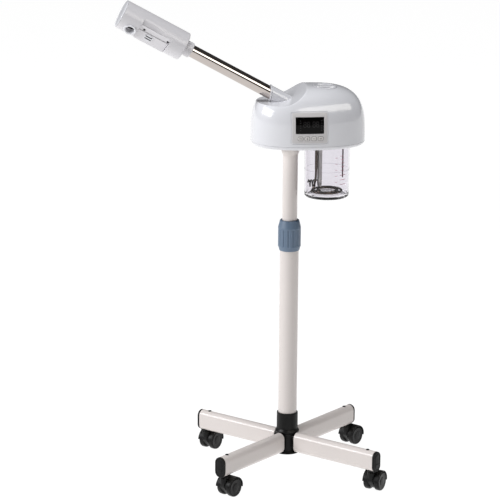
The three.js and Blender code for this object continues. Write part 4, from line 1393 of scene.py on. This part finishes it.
class STEAMER_OT_head(bpy.types.Operator):
    """Steam head: shell, end cap, lamp cover with its vent, screws and nozzle"""

    bl_idname = "steamer.head"
    bl_label = "Steam Head"

    def execute(self, context):
        satin, white = satin_abs(settings()), gloss_abs(settings())
        make("head_body", "steam_head", [placed(head_body(), HEAD_FRAME)], satin,
             ["head_shell"], 45)
        cap = [
            (0, 350.4), (30.2, 350.4), (30.5, 350.8), (30.3, 351.7),
            (27, 352.4), (18, 353.1), (8, 353.5), (0, 353.6),
        ]
        make("head_cap", "steam_head", [placed(turned(cap, 96, 0.5), HEAD_FRAME)], white,
             ["head_end_cap"])
        middle = (FLAT[0] + FLAT[1]) / 2
        thin = pad(21.2, 34.6, 1.5, FLAT[2] - 0.4, FLAT[2] + 0.5, 0.3)
        plate = pad(14.6, 34.2, 2.0, FLAT[2], FLAT[2] + 2.3, 0.7)
        make(
            "lamp_plate", "steam_head",
            [
                placed(thin, COVER_FRAME @ offset(0, middle, 0)),
                placed(plate, COVER_FRAME @ offset(-6.2, middle, 0)),
            ],
            satin, ["lamp_cover"],
        )
        badge_at = COVER_FRAME @ offset(-1.5, 280, FLAT[2] + 2.1)
        badge = placed(vent_badge(9.6, 2.1, (-3.2, 3.2)), badge_at)
        make("lamp_vent", "steam_head", [badge], white)
        # Painted shade: dark pads under the vent's slots stand in for the shade inside them.
        mesh = [placed(pad(1.9, 7.6, 1.4, -1.2, 1.1, 0.2), badge_at @ offset(u, 0, 0)) for u in (-3.2, 3.2)]
        make("lamp_vent_slot_shade", "steam_head", mesh, painted_shade_black())
        spots = ((12.5, 297), (12.5, 242))
        screws = [placed(screw(2.4, 1.1), COVER_FRAME @ offset(u, s, FLAT[2] + 0.5)) for u, s in spots]
        make("lamp_screws", "steam_head", screws, black_screw())
        nozzle = [
            (9, 17), (13, 17), (13, 29.6), (13.6, 30.2), (13.6, 31.0), (12.6, 31.6), (10.6, 31.6), (9.4, 30.6),
            (9, 29),
        ]
        make("head_nozzle", "steam_head", [placed(turned(nozzle, 96, 0.5), NOZZLE_FRAME)], white,
             ["nozzle"])
        # Painted shade: a dark disc at the foot of the nozzle's bore stands in for the shade inside it.
        throat = placed(turned([(0, 17.6), (9.3, 17.6), (9.3, 19.4), (0, 19.4)], 64, 0.3), NOZZLE_FRAME)
        make("nozzle_throat_shade", "steam_head", [throat], painted_shade_black())
        refinish("steam_hose", silicone_hose())
        refinish("ozone_lamp", quartz())
        return {"FINISHED"}


class STEAMER_OT_stage(bpy.types.Operator):
    """Pale floor, soft studio light and the camera"""

    bl_idname = "steamer.stage"
    bl_label = "Studio"

    def execute(self, context):
        scene = context.scene
        target = Vector((0.05, 0.0, 0.6))
        mesh = bpy.data.meshes.new("studio_floor")
        mesh.from_pydata([(-30, -30, 0), (30, -30, 0), (30, 30, 0), (-30, 30, 0)], [], [(0, 1, 2, 3)])
        mesh.materials.append(studio_floor())
        floor = bpy.data.objects.new("studio_floor", mesh)
        scene.collection.objects.link(floor)

        place = Vector((1.29, -1.55, 1.97))
        half, rise = 1.75, 0.4
        card = bpy.data.meshes.new("strip_card")
        corners = [(-half, -rise, 0), (half, -rise, 0), (half, rise, 0), (-half, rise, 0)]
        card.from_pydata(corners, [], [(0, 1, 2, 3)])
        card.transform((target - place).to_track_quat("-Z", "Y").to_matrix().to_4x4())
        card.transform(Matrix.Translation(place))
        card.materials.append(strip_glow())
        strip = bpy.data.objects.new("strip_card", card)
        strip.visible_camera = strip.visible_diffuse = strip.visible_shadow = False
        scene.collection.objects.link(strip)

        world = bpy.data.worlds.new("studio_surround")
        world.use_nodes = True
        tree = world.node_tree
        tree.nodes.clear()
        back = add(tree, "ShaderNodeBackground", {"Color": (0.05, 0.049, 0.05, 1.0), "Strength": 1.0})
        add(tree, "ShaderNodeOutputWorld", {"Surface": back.outputs["Background"]})
        scene.world = world

        for name, place, width, height, watts, colour in (
            ("key_softbox", (-2.8, -0.5, 1.75), 2.2, 0.8, 70, (0.97, 0.98, 1.0)),
            ("top_softbox", (0.1, -0.5, 5.6), 3.0, 3.0, 225, (0.98, 0.99, 1.0)),
        ):
            lamp = bpy.data.lights.new(name, "AREA")
            lamp.shape = "RECTANGLE"
            lamp.size, lamp.size_y = width, height
            lamp.energy, lamp.color = watts, colour
            light = bpy.data.objects.new(name, lamp)
            light.location = place
            light.rotation_mode = "QUATERNION"
            light.rotation_quaternion = (target - Vector(place)).to_track_quat("-Z", "Y")
            light.visible_camera = False
            light.visible_glossy = name != "top_softbox"
            scene.collection.objects.link(light)

        lens = bpy.data.cameras.new("view_camera")
        lens.sensor_width, lens.lens = 36, 194.4
        lens.clip_start, lens.clip_end = 0.1, 60
        camera = bpy.data.objects.new("view_camera", lens)
        camera.location = (-0.7503, -5.4951, 1.9210)
        camera.rotation_mode = "QUATERNION"
        look = Vector((0.1314, 0.9594, -0.2496)).to_track_quat("-Z", "Y")
        camera.rotation_quaternion = look @ Quaternion((0, 0, 1), 0.0082)
        scene.collection.objects.link(camera)
        scene.camera = camera
        scene.view_settings.view_transform = "Standard"
        return {"FINISHED"}


OPERATORS = (
    STEAMER_OT_base, STEAMER_OT_castors, STEAMER_OT_column, STEAMER_OT_housing, STEAMER_OT_panel, STEAMER_OT_keys,
    STEAMER_OT_inlet, STEAMER_OT_filling, STEAMER_OT_boiler, STEAMER_OT_jar, STEAMER_OT_arm, STEAMER_OT_head,
    STEAMER_OT_stage,
)


class STEAMER_PT_panel(bpy.types.Panel):
    """Lists the steamer's settings and its building steps"""

    bl_idname = "STEAMER_PT_panel"
    bl_label = "Facial Steamer"
    bl_space_type = "VIEW_3D"
    bl_region_type = "UI"
    bl_category = "Steamer"

    def draw(self, context):
        for key in SteamerSettings.__annotations__:
            self.layout.prop(context.scene.steamer, key)
        for operator in OPERATORS:
            self.layout.operator(operator.bl_idname)


CLASSES = (SteamerSettings, *OPERATORS, STEAMER_PT_panel)


def register():
    for cls in CLASSES:
        bpy.utils.register_class(cls)
    bpy.types.Scene.steamer = bpy.props.PointerProperty(type=SteamerSettings)


def unregister():
    del bpy.types.Scene.steamer
    for cls in reversed(CLASSES):
        bpy.utils.unregister_class(cls)


def main():
    """Registers the add-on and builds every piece."""
    register()
    for operator in OPERATORS:
        group, step = operator.bl_idname.split(".")
        getattr(getattr(bpy.ops, group), step)()


if __name__ == "__main__":
    main()
